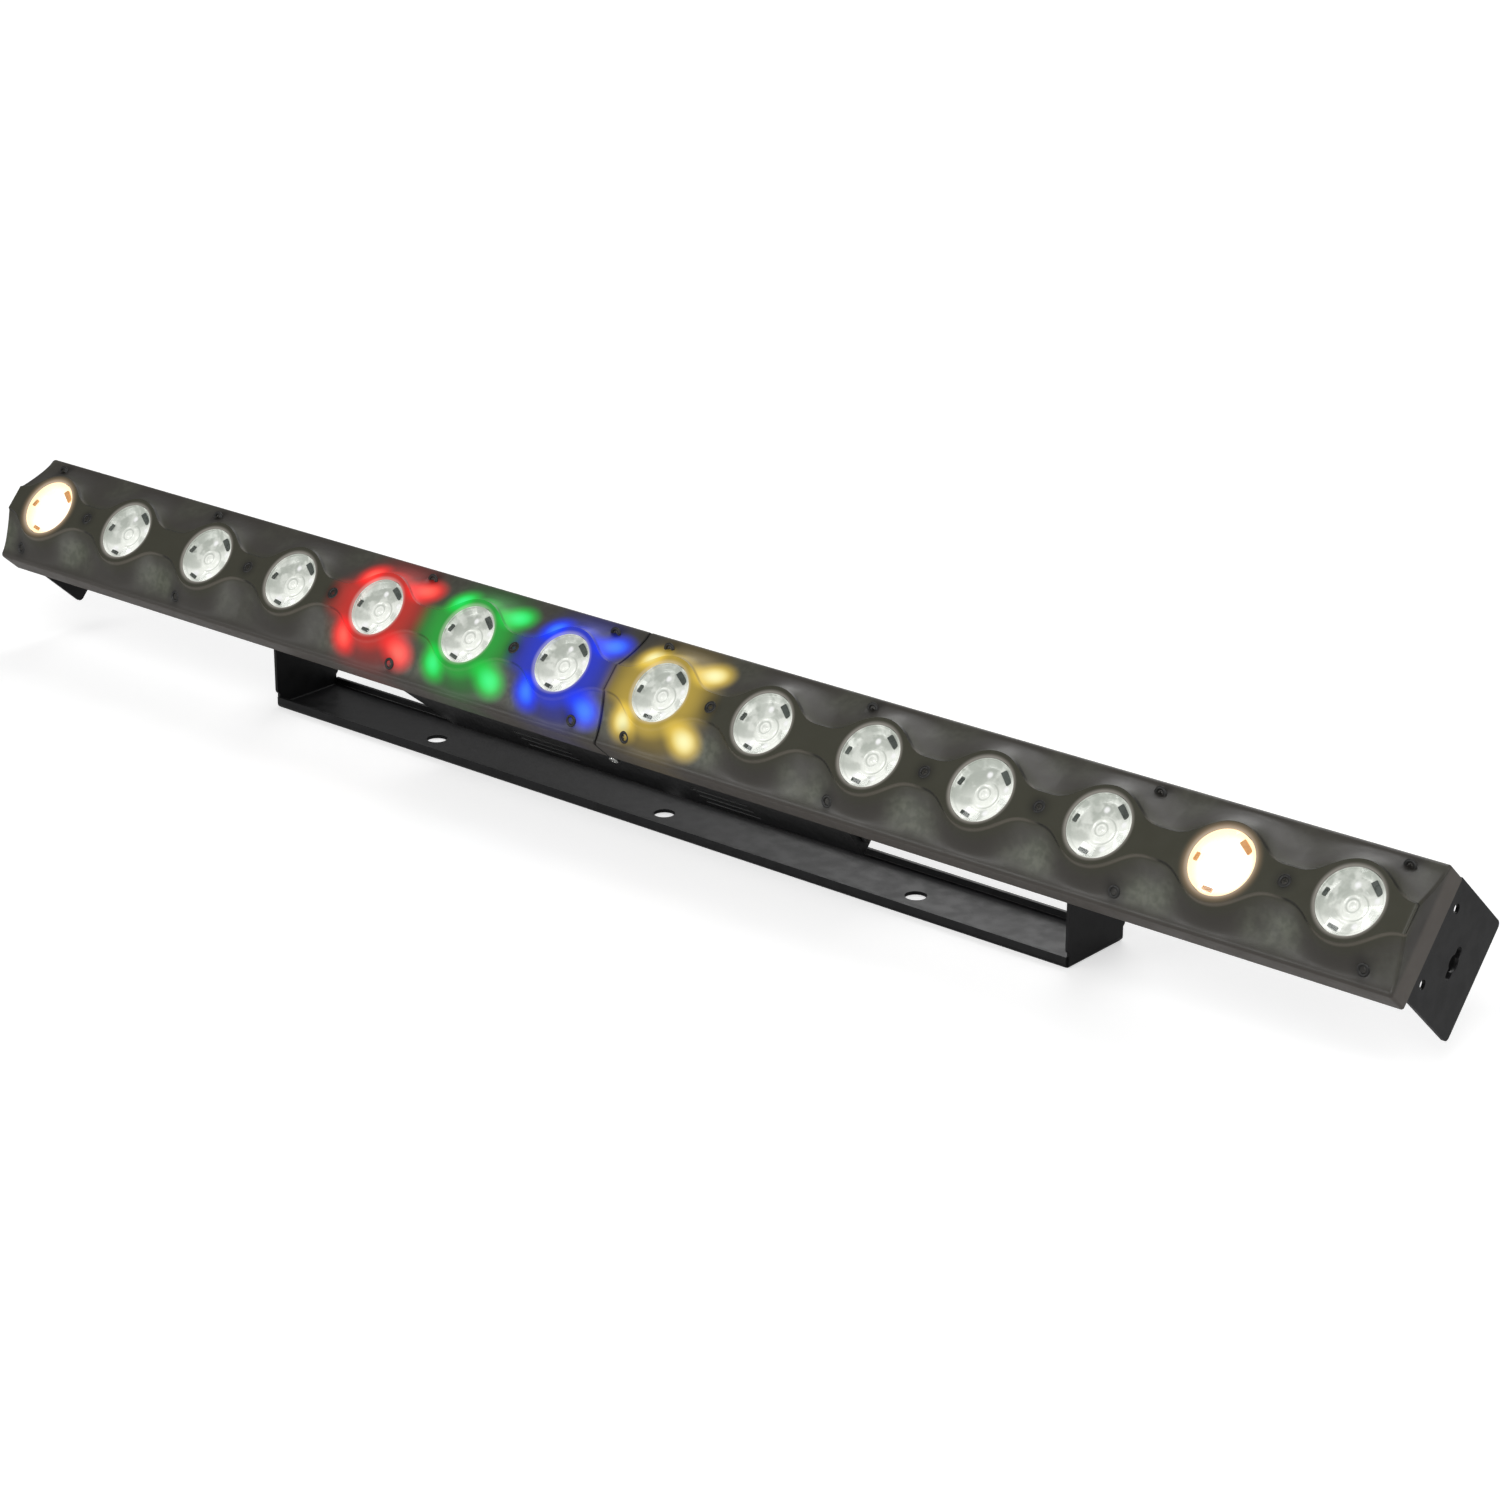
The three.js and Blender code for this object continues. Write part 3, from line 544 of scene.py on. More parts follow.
def install(piece: Piece, body: str, materials: Sequence[Material],
            slot: Slot, nodes: Sequence[str] = (), place: Matrix | None = None) -> None:
    """Dresses a finished piece, puts it in place and lets it ride on its body.

    Args:
        piece: The piece.
        body: The body it moves with.
        materials: Its materials, in the order of its faces' indices.
        slot: Not used.
        nodes: The CAD nodes it stands for.
        place: Takes its mesh to the row's frame.
    """
    if place is not None:
        piece.data.transform(place)
    for material in materials:
        piece.data.materials.append(material)
    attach(piece, body)
    if nodes:
        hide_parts(*nodes)
    log.info("%s: %d faces on %s", piece.name, len(piece.data.polygons), body)


def refined(node: str, name: str, width: float, segments: int = 2) -> Piece:
    """A merged copy of a CAD node's mesh with its edges rounded.

    Args:
        node: The CAD node.
        name: Name of the new piece.
        width: Width of the rounding.
        segments: How many steps the rounding has.

    Returns:
        The new piece, still in the row's frame.
    """
    shape = Shape()
    shape.bm.from_mesh(frame["nodes"][node].data)
    bmesh.ops.remove_doubles(shape.bm, verts=shape.bm.verts, dist=LEVEL)
    bmesh.ops.dissolve_limit(
        shape.bm, angle_limit=math.radians(1), verts=shape.bm.verts, edges=shape.bm.edges
    )
    piece = shape.raw_object(name)
    soften(piece, width, segments)
    return piece


# ---- Finishes -------------------------------------------------------------------------------


class Nodes:
    """A node tree with short calls to add and join its nodes."""

    def __init__(self, tree: Tree) -> None:
        """Keeps the tree that the calls work on."""
        self.tree = tree

    def add(self, kind: str, **settings: object) -> Node:
        """Adds a node and sets its options.

        Args:
            kind: The node's type, without its first word.
            settings: Its options.

        Returns:
            The node.
        """
        node = self.tree.nodes.new("ShaderNode" + kind)
        for name, value in settings.items():
            setattr(node, name, value)
        return node

    def feed(self, socket: Socket, value: object) -> None:
        """Joins a socket to another, or sets its value.

        Args:
            socket: The input.
            value: A socket, or a plain value.
        """
        if isinstance(value, Socket):
            self.tree.links.new(value, socket)
        else:
            socket.default_value = value

    def math(self, operation: str, *values: object, clamp: bool = False) -> Socket:
        """Adds a Math node over numbers or sockets.

        Args:
            operation: What it works out.
            values: Its inputs in order.
            clamp: Whether to keep to 0 to 1.

        Returns:
            The result.
        """
        node = self.add("Math", operation=operation, use_clamp=clamp)
        for socket, value in zip(node.inputs, values):
            self.feed(socket, value)
        return node.outputs[0]

    def times(self, first: object, second: object) -> Socket:
        """Product of two numbers."""
        return self.math("MULTIPLY", first, second)

    def less(self, first: object, second: object) -> Socket:
        """First number less the second."""
        return self.math("SUBTRACT", first, second)

    def apart(self, first: object, second: object) -> Socket:
        """How far two numbers lie apart."""
        return self.math("ABSOLUTE", self.less(first, second))

    def ease(self, value: object, low: float, high: float, start: float = 0.0,
             stop: float = 1.0) -> Socket:
        """Eases a value from start to stop as it goes from low to high.

        Args:
            value: What is eased.
            low: Where the change starts.
            high: Where it ends.
            start: Result at the start.
            stop: Result at the end.

        Returns:
            The result.
        """
        node = self.add("MapRange", interpolation_type="SMOOTHSTEP", clamp=True)
        for name, number in (("From Min", low), ("From Max", high), ("To Min", start),
                             ("To Max", stop)):
            node.inputs[name].default_value = number
        self.feed(node.inputs["Value"], value)
        return node.outputs["Result"]

    def mix(self, share: object, first: object, second: object) -> Socket:
        """Mixes two colours.

        Args:
            share: How much of the second colour.
            first: First colour.
            second: Second colour.

        Returns:
            The colour.
        """
        node = self.add("Mix", data_type="RGBA", clamp_factor=True)
        self.feed(node.inputs[0], share)
        for socket, value in ((6, first), (7, second)):
            self.feed(node.inputs[socket], (*value, 1) if isinstance(value, tuple) else value)
        return node.outputs[2]

    def vector(self, x: object, y: object, z: object = 0.0) -> Socket:
        """Joins three numbers to a vector.

        Args:
            x: First number.
            y: Second number.
            z: Third number.

        Returns:
            The vector.
        """
        node = self.add("CombineXYZ")
        for socket, value in zip(node.inputs, (x, y, z)):
            self.feed(socket, value)
        return node.outputs[0]

    def noise(self, place: object, scale: float, detail: float = 3.0,
              rough: float = 0.55) -> Socket:
        """Adds cloudy noise over a place.

        Args:
            place: Where it is read.
            scale: Its fineness.
            detail: How many octaves it has.
            rough: Strength of the finer octaves.

        Returns:
            The noise, from 0 to 1.
        """
        node = self.add("TexNoise")
        self.feed(node.inputs["Vector"], place)
        for name, number in (("Scale", scale), ("Detail", detail), ("Roughness", rough)):
            node.inputs[name].default_value = number
        return node.outputs["Fac"]

    def length(self, x: object, y: object) -> Socket:
        """Length of a flat vector."""
        return self.math("SQRT", self.math("ADD", self.times(x, x), self.times(y, y)))

    def group(self, tree: Tree, **inputs: object) -> Node:
        """Places a node group with its values; an underscore in a name stands for a space.

        Args:
            tree: The group.
            inputs: Values or sockets for its inputs.

        Returns:
            The group node.
        """
        node = self.add("Group")
        node.node_tree = tree
        for name, value in inputs.items():
            self.feed(node.inputs[name.replace("_", " ")], value)
        return node


class Effects:
    """Shader node groups that more than one finish uses, each built once."""

    GLOW_MIDDLE = (3.1 * MM, -0.9 * MM)
    GLOW_REACH = (21.3 * MM, 19.7 * MM)

    def __init__(self) -> None:
        """Builds the groups."""
        self.cell = self._cell()
        self.glow = self._glow()
        self.grain = self._grain()
        self.scuff = self._scuff()

    @staticmethod
    def _start(name: str, inputs: dict[str, str], outputs: Sequence[str]
               ) -> tuple[Nodes, Node, Node]:
        """Starts a group with named sockets.

        Args:
            name: The group's name.
            inputs: Input names with FLOAT or VECTOR.
            outputs: Names of the float outputs.

        Returns:
            The group's nodes, its input node and its output node.
        """
        tree = bpy.data.node_groups.new(name, "ShaderNodeTree")
        kinds = {"FLOAT": "NodeSocketFloat", "VECTOR": "NodeSocketVector"}
        for label, kind in inputs.items():
            tree.interface.new_socket(label, in_out="INPUT", socket_type=kinds[kind])
        for label in outputs:
            tree.interface.new_socket(label, in_out="OUTPUT", socket_type=kinds["FLOAT"])
        nodes = Nodes(tree)
        source = tree.nodes.new("NodeGroupInput")
        target = tree.nodes.new("NodeGroupOutput")
        return nodes, source, target

    def _cell(self) -> Tree:
        """Place within a lens's own cell of the bar.

        Returns:
            The group.
        """
        nodes, source, target = self._start(
            "bar_cell", {"Place": "VECTOR"}, ("Along", "Up", "Out", "Cell X", "Index", "Radius")
        )
        split = nodes.add("SeparateXYZ")
        nodes.feed(split.inputs[0], source.outputs["Place"])
        steps = nodes.math("DIVIDE", split.outputs[0], LAYOUT.pitch)
        index = nodes.math("FLOOR", steps)
        share = nodes.less(nodes.less(steps, index), 0.5)
        local = nodes.times(share, LAYOUT.pitch)
        results = {
            "Along": split.outputs[0], "Up": split.outputs[1], "Out": split.outputs[2],
            "Cell X": local, "Index": index, "Radius": nodes.length(local, split.outputs[1]),
        }
        for label, socket in results.items():
            nodes.feed(target.inputs[label], socket)
        return nodes.tree

    def _glow(self) -> Tree:
        """Light of the four colour LEDs round one lens, seen through the cover.

        Returns:
            The group.
        """
        nodes, source, target = self._start(
            "cell_glow", {"Along": "FLOAT", "Up": "FLOAT", "Centre": "FLOAT", "Cloud": "FLOAT"},
            ("Core", "Spot", "Haze"),
        )
        local = nodes.less(source.outputs["Along"], source.outputs["Centre"])
        across = nodes.less(nodes.apart(local, self.GLOW_MIDDLE[0]), self.GLOW_REACH[0])
        raised = nodes.apart(source.outputs["Up"], self.GLOW_MIDDLE[1])
        upwards = nodes.less(raised, self.GLOW_REACH[1])
        spot = nodes.length(across, nodes.times(upwards, 1.22))
        reach = nodes.length(local, nodes.times(source.outputs["Up"], 0.85))
        far = nodes.ease(reach, 20 * MM, 43 * MM, 1.0, 0.0)
        cloud = nodes.math("MULTIPLY_ADD", source.outputs["Cloud"], 0.7, 0.62)
        nodes.feed(target.inputs["Core"], nodes.ease(spot, 0.5 * MM, 9 * MM, 1.0, 0.0))
        nodes.feed(target.inputs["Spot"], nodes.ease(spot, 2 * MM, 15 * MM, 1.0, 0.0))
        nodes.feed(target.inputs["Haze"], nodes.times(far, cloud))
        return nodes.tree

    def _grain(self) -> Tree:
        """Fine grain of a powder coat or a moulded skin.

        Returns:
            The group.
        """
        nodes, source, target = self._start(
            "fine_grain", {"Place": "VECTOR", "Size": "FLOAT"}, ("Height", "Tone")
        )
        scaled = nodes.add("VectorMath", operation="DIVIDE")
        nodes.feed(scaled.inputs[0], source.outputs["Place"])
        size = source.outputs["Size"]
        nodes.feed(scaled.inputs[1], nodes.vector(size, size, size))
        fine = nodes.noise(scaled.outputs[0], 1.0, 2.0, 0.6)
        broad = nodes.noise(scaled.outputs[0], 0.06, 3.0, 0.5)
        nodes.feed(target.inputs["Height"], fine)
        nodes.feed(target.inputs["Tone"], nodes.ease(broad, 0.3, 0.7))
        return nodes.tree

    def _scuff(self) -> Tree:
        """Sparse rubbed marks and hairlines.

        Returns:
            The group.
        """
        nodes, source, target = self._start(
            "handling_marks", {"Place": "VECTOR", "Amount": "FLOAT"}, ("Mask",)
        )
        stretch = nodes.add("Mapping")
        nodes.feed(stretch.inputs["Vector"], source.outputs["Place"])
        stretch.inputs["Scale"].default_value = (14, 130, 130)
        stretch.inputs["Rotation"].default_value = (0.3, 0.5, 0.7)
        lines = nodes.noise(stretch.outputs[0], 6.0, 4.0, 0.65)
        where = nodes.noise(source.outputs["Place"], 24.0, 2.0, 0.5)
        marks = nodes.times(nodes.ease(lines, 0.6, 0.72), nodes.ease(where, 0.52, 0.7))
        nodes.feed(target.inputs["Mask"], nodes.times(marks, source.outputs["Amount"]))
        return nodes.tree


class Paint:
    """A material in the making: its nodes, its Principled shader and its places."""

    def __init__(self, name: str) -> None:
        """Starts a material with only its shader.

        Args:
            name: Name of the material.
        """
        self.material = bpy.data.materials.new(name)
        self.material.use_nodes = True
        self.nodes = Nodes(self.material.node_tree)
        self.shader = self.material.node_tree.nodes["Principled BSDF"]
        coordinate = self.nodes.add("TexCoord")
        self.place = coordinate.outputs["Object"]

    def bar_place(self) -> Socket:
        """Object coordinates turned into the bar's own frame.

        Returns:
            The turned coordinates.
        """
        mapping = self.nodes.add("Mapping", vector_type="TEXTURE")
        self.nodes.feed(mapping.inputs["Vector"], self.place)
        mapping.inputs["Location"].default_value = BAR.origin
        mapping.inputs["Rotation"].default_value = (BAR.lean, 0, 0)
        return mapping.outputs[0]

    def set(self, **values: object) -> None:
        """Sets or joins the shader's sockets; an underscore in a name stands for a space.

        Args:
            values: Values or sockets for its inputs.
        """
        for name, value in values.items():
            socket = self.shader.inputs[name.replace("_", " ")]
            self.nodes.feed(socket, (*value, 1) if isinstance(value, tuple) else value)

    def bump(self, height: object, distance: float, strength: float = 1.0) -> None:
        """Adds relief to the shader's normal.

        Args:
            height: Height of the relief, from 0 to 1.
            distance: How deep it is.
            strength: How strongly it shows.
        """
        node = self.nodes.add("Bump")
        node.inputs["Distance"].default_value = distance
        node.inputs["Strength"].default_value = strength
        self.nodes.feed(node.inputs["Height"], height)
        self.nodes.feed(self.shader.inputs["Normal"], node.outputs[0])


@dataclass(frozen=True)
class GrainedFinish:
    """A surface with a fine grain in two tones and rubbed marks."""

    effects: Effects
    name: str
    colour: Place
    roughness: float
    second_tone: float
    worn: Place
    grain_size: float
    marks: float
    relief: float
    relief_strength: float
    metal: bool = False
    gloss: float = 0.5

    def build(self) -> Material:
        """Makes the material.

        Returns:
            The material.
        """
        paint = Paint(self.name)
        nodes = paint.nodes
        grain = nodes.group(self.effects.grain, Place=paint.place, Size=self.grain_size)
        marks = nodes.group(self.effects.scuff, Place=paint.place, Amount=self.marks)
        second = tuple(self.second_tone * c for c in self.colour)
        tone = nodes.mix(grain.outputs["Tone"], self.colour, second)
        uneven = (marks.outputs["Mask"], 0.25) if self.metal else (grain.outputs["Tone"], 0.1)
        paint.set(
            Base_Color=nodes.mix(marks.outputs["Mask"], tone, self.worn),
            Metallic=float(self.metal),
            Roughness=nodes.math("MULTIPLY_ADD", *uneven, self.roughness),
            Specular_IOR_Level=self.gloss,
        )
        paint.bump(grain.outputs["Height"], self.relief, self.relief_strength)
        return paint.material


def powder_coat(effects: Effects) -> Material:
    """Satin black powder coat on steel sheet.

    Args:
        effects: The shared groups.

    Returns:
        The material.
    """
    return GrainedFinish(
        effects, "satin_powder_coat", (0.0065, 0.0065, 0.0070), 0.36, 1.35,
        worn=(0.022, 0.022, 0.023), grain_size=0.55 * MM, marks=0.55,
        relief=0.05 * MM, relief_strength=0.55, gloss=0.32,
    ).build()


def moulded(effects: Effects, name: str, colour: Place, roughness: float) -> Material:
    """Moulded plastic with a fine spark-eroded skin.

    Args:
        effects: The shared groups.
        name: Name of the material.
        colour: Its linear colour.
        roughness: How matt it is.

    Returns:
        The material.
    """
    return GrainedFinish(
        effects, name, colour, roughness, 1.5, worn=(0.08, 0.08, 0.082),
        grain_size=0.4 * MM, marks=0.3, relief=0.03 * MM, relief_strength=0.4,
    ).build()


def bare_metal(effects: Effects, name: str, colour: Place, roughness: float) -> Material:
    """Plated or brushed metal.

    Args:
        effects: The shared groups.
        name: Name of the material.
        colour: Its linear colour.
        roughness: How matt it is.

    Returns:
        The material.
    """
    return GrainedFinish(
        effects, name, colour, roughness, 0.82, worn=(0.35, 0.34, 0.32),
        grain_size=0.3 * MM, marks=0.8, relief=0.01 * MM, relief_strength=0.3, metal=True,
    ).build()


@dataclass(frozen=True)
class SmokedPlastic:
    """Frosted smoked plastic, with the boards and the lit colour LEDs showing through it; painted
    shade darkens the band's crease and the seam, painted highlights run along the band's lower
    edges and round each lens, and the walls below the face get a lighter tone that is painted
    light.
    """

    effects: Effects
    band: Place = (0.045, 0.044, 0.030)
    slope: Place = (0.044, 0.040, 0.034)
    # Painted light: lighter tone of the walls below the face, standing in for light falling on
    # them.
    side: Place = (0.105, 0.090, 0.078)
    board: Place = (0.070, 0.076, 0.054)
    board_light: Place = (0.108, 0.115, 0.085)
    # Painted shade along the band's crease and at the seam; the same colour darkens the bosses
    # seen through the plastic.
    dark: Place = (0.007, 0.0065, 0.0055)
    # Painted highlight: colour of the pale line along the band's lower edges.
    edge: Place = (0.14, 0.125, 0.10)

    def build(self) -> Material:
        """Makes the material.

        Returns:
            The material.
        """
        paint = Paint("smoked_frosted_plastic")
        nodes = paint.nodes
        place = paint.bar_place()
        cell = nodes.group(self.effects.cell, Place=place)
        grain = nodes.group(self.effects.grain, Place=paint.place, Size=0.7 * MM)
        outline = self._attribute(nodes, "outline")
        boss = self._attribute(nodes, "boss")
        cloud = nodes.noise(place, 34.0, 2.0, 0.45)
        mottle = nodes.noise(place, 250.0, 1.5, 0.5)
        between = nodes.ease(nodes.math("ABSOLUTE", cell.outputs["Cell X"]), 13 * MM, 31 * MM)
        low = nodes.ease(nodes.apart(cell.outputs["Up"], -22 * MM), 3 * MM, 13 * MM, 1.0, 0.0)
        high = nodes.ease(cell.outputs["Up"], 12 * MM, 26 * MM, 0.0, 0.35)
        slope = nodes.ease(outline, 0.6 * MM, 6 * MM)
        shown = nodes.times(nodes.math("ADD", low, high), between)
        shown = nodes.times(shown, nodes.ease(cloud, 0.36, 0.58, 0.25, 1.0))
        # Painted light: the walls below the face are blended towards the lighter side tone.
        rim = nodes.ease(cell.outputs["Out"], -17 * MM, -12.5 * MM, 1.0, 0.0)
        base = nodes.mix(slope, self.band, self.slope)
        speckled = nodes.mix(nodes.ease(mottle, 0.32, 0.68), self.board, self.board_light)
        base = nodes.mix(nodes.times(shown, slope), base, speckled)
        base = nodes.mix(nodes.times(rim, 0.8), base, self.side)
        # Painted shade and painted highlight: a thin line along the band's outline, dark on its
        # upper sides and pale on its lower sides.
        painted_crease_line = nodes.ease(nodes.apart(outline, 0.5 * MM), 0.0, 0.8 * MM, 0.75, 0.0)
        # Painted shade in the seam between the two covers.
        seam = nodes.ease(nodes.math("ABSOLUTE", cell.outputs["Along"]), 0.3 * MM, 1.7 * MM,
                          0.9, 0.0)
        # Painted highlight mask for the lower sides of the crease line; elsewhere the line is
        # painted shade.
        pale = self._painted_edge_highlight(nodes, cell)
        shaded = nodes.times(painted_crease_line, nodes.less(1.0, pale))
        dark = nodes.math("MAXIMUM", shaded, nodes.times(boss, 0.7))
        dark = nodes.math("MAXIMUM", dark, seam)
        base = nodes.mix(dark, base, self.dark)
        # Painted highlight along the lower sides of the crease line.
        base = nodes.mix(nodes.times(painted_crease_line, pale), base, self.edge)
        light, glowing = self._light(paint, cell, cloud, slope)
        light = nodes.mix(nodes.times(dark, 0.6), light, BLACK)
        base = nodes.mix(glowing, base, BLACK)
        paint.set(
            Base_Color=base,
            Roughness=nodes.math("MULTIPLY_ADD", grain.outputs["Tone"], 0.08, 0.38),
            Specular_IOR_Level=0.42,
            Emission_Color=light,
            Emission_Strength=1.0,
        )
        paint.bump(grain.outputs["Height"], 0.02 * MM, 0.35)
        return paint.material

    @staticmethod
    def _attribute(nodes: Nodes, name: str) -> Socket:
        """A number kept on the cover's mesh."""
        return nodes.add("Attribute", attribute_name=name).outputs["Fac"]

    @staticmethod
    def _painted_edge_highlight(nodes: Nodes, cell: Node) -> Socket:
        """Mask of the band's lower edge, where a pale painted highlight runs along its step.

        Args:
            nodes: The material's nodes.
            cell: The placed cell group.

        Returns:
            The mask.
        """
        local = cell.outputs["Cell X"]
        near = nodes.ease(nodes.math("ABSOLUTE", local), 24 * MM, 36 * MM, 0.6, 0.0)
        slant = nodes.times(local, near)
        down = nodes.math("MULTIPLY_ADD", cell.outputs["Up"], -0.8, slant)
        return nodes.ease(down, 0.0, 11 * MM)

    def _light(self, paint: Paint, cell: Node,
               cloud: Socket, slope: Socket
               ) -> tuple[Socket, Socket]:
        """Adds up the light of the lit cells, and a painted highlight round the rim of every lens.

        Args:
            paint: The material in the making.
            cell: The placed cell group.
            cloud: Soft noise that makes the haze uneven.
            slope: 0 on the raised band and 1 on the slopes.

        Returns:
            The emission colour, and how strongly the light covers the plastic.
        """
        nodes = paint.nodes
        total: object = BLACK
        glowing: object = 0.0
        spread = nodes.math("MULTIPLY_ADD", slope, -0.30, 0.50)
        spread = nodes.times(spread,
                             nodes.ease(cell.outputs["Out"], -17 * MM, -8 * MM, 0.25, 1.0))
        for glow in Glow:
            centre = (glow.cell + 0.5) * LAYOUT.pitch
            lit = nodes.group(
                self.effects.glow, Along=cell.outputs["Along"], Up=cell.outputs["Up"],
                Centre=centre, Cloud=cloud,
            )
            haze = nodes.times(lit.outputs["Haze"], spread)
            share = nodes.math("MULTIPLY_ADD", lit.outputs["Spot"], 1.0, haze, clamp=True)
            total = nodes.mix(share, total, glow.colour)
            total = nodes.mix(nodes.times(lit.outputs["Core"], 0.9), total, glow.core)
            glowing = nodes.math("MAXIMUM", glowing, share)
        # Painted highlight: a pale glow on the cover round the rim of every lens, lit or not.
        face = nodes.ease(cell.outputs["Out"], -3 * MM, -0.6 * MM)
        ring = nodes.ease(cell.outputs["Radius"], LAYOUT.lens_radius, 20 * MM, 0.2, 0.0)
        total = nodes.mix(nodes.times(ring, face), total, (1.0, 0.93, 0.86))
        lit_cell = nodes.math("ADD", *(
            nodes.math("COMPARE", cell.outputs["Index"], number - 1 - LAYOUT.cells, 0.5)
            for number in LensUnits.LIT
        ))
        halo = nodes.ease(cell.outputs["Radius"], LAYOUT.lens_radius, 24 * MM, 0.5, 0.0)
        halo = nodes.times(nodes.times(halo, halo), lit_cell)
        return nodes.mix(halo, total, (1.0, 0.66, 0.38)), glowing


class LensLight(Enum):
    """Whether a white LED is off or lit."""

    OFF = "off"
    WARM = "warm"


@dataclass(frozen=True)
class LensSilver:
    """The bright inside of a moulded lens, with painted light: a lighter lit side, painted
    highlight patches and glints, and an unlit lens that glows.
    """

    effects: Effects
    light: LensLight
    # Painted shaded and lit tones of the inside.
    shade: Place = (0.45, 0.48, 0.43)
    bright: Place = (0.93, 0.95, 0.89)
    glints: tuple[Place, ...] = (
        (-4.5 * MM, -12.0 * MM, 3.2 * MM), (6.0 * MM, -10.5 * MM, 2.4 * MM),
        (11.5 * MM, 4.5 * MM, 2.2 * MM), (-1.5 * MM, 9.5 * MM, 2.4 * MM),
    )

    def build(self) -> Material:
        """Makes the material.

        Returns:
            The material.
        """
        paint = Paint("lens_inside_" + self.light.value)
        nodes = paint.nodes
        place = paint.bar_place()
        cell = nodes.group(self.effects.cell, Place=place)
        x, y, radius = cell.outputs["Cell X"], cell.outputs["Up"], cell.outputs["Radius"]
        away = nodes.length(nodes.less(x, LENS_EYE[0]),
                            nodes.less(y, LENS_EYE[1]))
        spot = nodes.vector(x, y, nodes.times(cell.outputs["Index"], 0.37))
        # Painted highlights: soft bright patches.
        painted_highlight_patches = nodes.ease(nodes.noise(spot, 150.0, 2.0, 0.5), 0.44, 0.60)
        # Painted light: the inside is lighter towards its lower right, as if lit from there.
        side = nodes.math("MULTIPLY_ADD", y, -1.25, x)
        light = nodes.ease(side, -17 * MM, 15 * MM)
        tone = nodes.mix(light, self.shade, self.bright)
        tone = nodes.mix(nodes.times(painted_highlight_patches, 0.5), tone, self.bright)
        tone = nodes.mix(self._swirl(nodes, x, y, away), tone, self.shade)
        dark = self._ring(nodes, away, 3.4 * MM, 0.8 * MM, 0.6)
        crescent = nodes.times(self._ring(nodes, away, 6.9 * MM, 0.8 * MM, 0.7),
                               nodes.ease(x, -1 * MM, 5 * MM))
        rim = self._ring(nodes, radius, 15.9 * MM, 0.7 * MM, 0.3)
        for mask in (dark, crescent, rim):
            tone = nodes.mix(mask, tone, self.shade)
        for at, wide, much in ((2.3 * MM, 0.7 * MM, 0.9), (5.0 * MM, 1.0 * MM, 0.5)):
            tone = nodes.mix(self._ring(nodes, away, at, wide, much), tone, self.bright)
        for spot_x, spot_y, wide in self.glints:
            apart = nodes.length(nodes.less(x, spot_x),
                                 nodes.less(y, spot_y))
            glint = nodes.ease(apart, 0.3 * wide, wide, 0.95, 0.0)
            tone = nodes.mix(glint, tone, WHITE)
        # Painted light: an unlit lens glows with its own tone, standing in for the light it would
        # reflect.
        if self.light is LensLight.OFF:
            body = nodes.mix(0.38, tone, BLACK)
            paint.set(Base_Color=body, Metallic=0.1, Roughness=0.24, Emission_Color=tone,
                      Emission_Strength=0.48)
        else:
            warm = nodes.mix(nodes.ease(radius, 11 * MM, 17.5 * MM), tone, (1.0, 0.70, 0.40))
            paint.set(Base_Color=(0.5, 0.42, 0.32), Roughness=0.3, Emission_Color=warm,
                      Emission_Strength=1.15)
        return paint.material

    def _swirl(self, nodes: Nodes, x: Socket, y: Socket,
               away: Socket) -> Socket:
        """Mask of the curved facets between the eye and the rim.

        Args:
            nodes: The material's nodes.
            x: Place along the bar within the cell.
            y: Place across the bar.
            away: Distance from the eye.

        Returns:
            The mask.
        """
        angle = nodes.math("ARCTAN2", nodes.less(y, LENS_EYE[1]),
                           nodes.less(x, LENS_EYE[0]))
        turned = nodes.math("MULTIPLY_ADD", away, 190.0, nodes.times(angle, 5.0))
        wave = nodes.ease(nodes.math("SINE", turned), -0.1, 0.9, 0.0, 0.55)
        outward = nodes.ease(away, 6.5 * MM, 9 * MM)
        return nodes.times(wave, outward)

    @staticmethod
    def _ring(nodes: Nodes, away: Socket, at: float, wide: float,
              much: float) -> Socket:
        """Mask of a soft ring.

        Args:
            nodes: The material's nodes.
            away: Distance from the ring's middle.
            at: The ring's radius.
            wide: Half of its width.
            much: Its strength.

        Returns:
            The mask.
        """
        return nodes.ease(nodes.apart(away, at), 0.0, wide, much, 0.0)


def clear_front() -> Material:
    """Thin clear front of a lens: only its gloss shows.

    Returns:
        The material.
    """
    paint = Paint("clear_lens_front")
    nodes = paint.nodes
    gloss = nodes.add("Fresnel")
    gloss.inputs["IOR"].default_value = 1.5
    outside = nodes.less(1.0, nodes.add("NewGeometry").outputs["Backfacing"])
    shine = nodes.math("MULTIPLY_ADD", gloss.outputs[0], 0.8, 0.01)
    alpha = nodes.times(shine, outside)
    paint.set(Base_Color=(0.95, 0.97, 0.96), Metallic=1.0, Roughness=0.04, Alpha=alpha)
    return paint.material


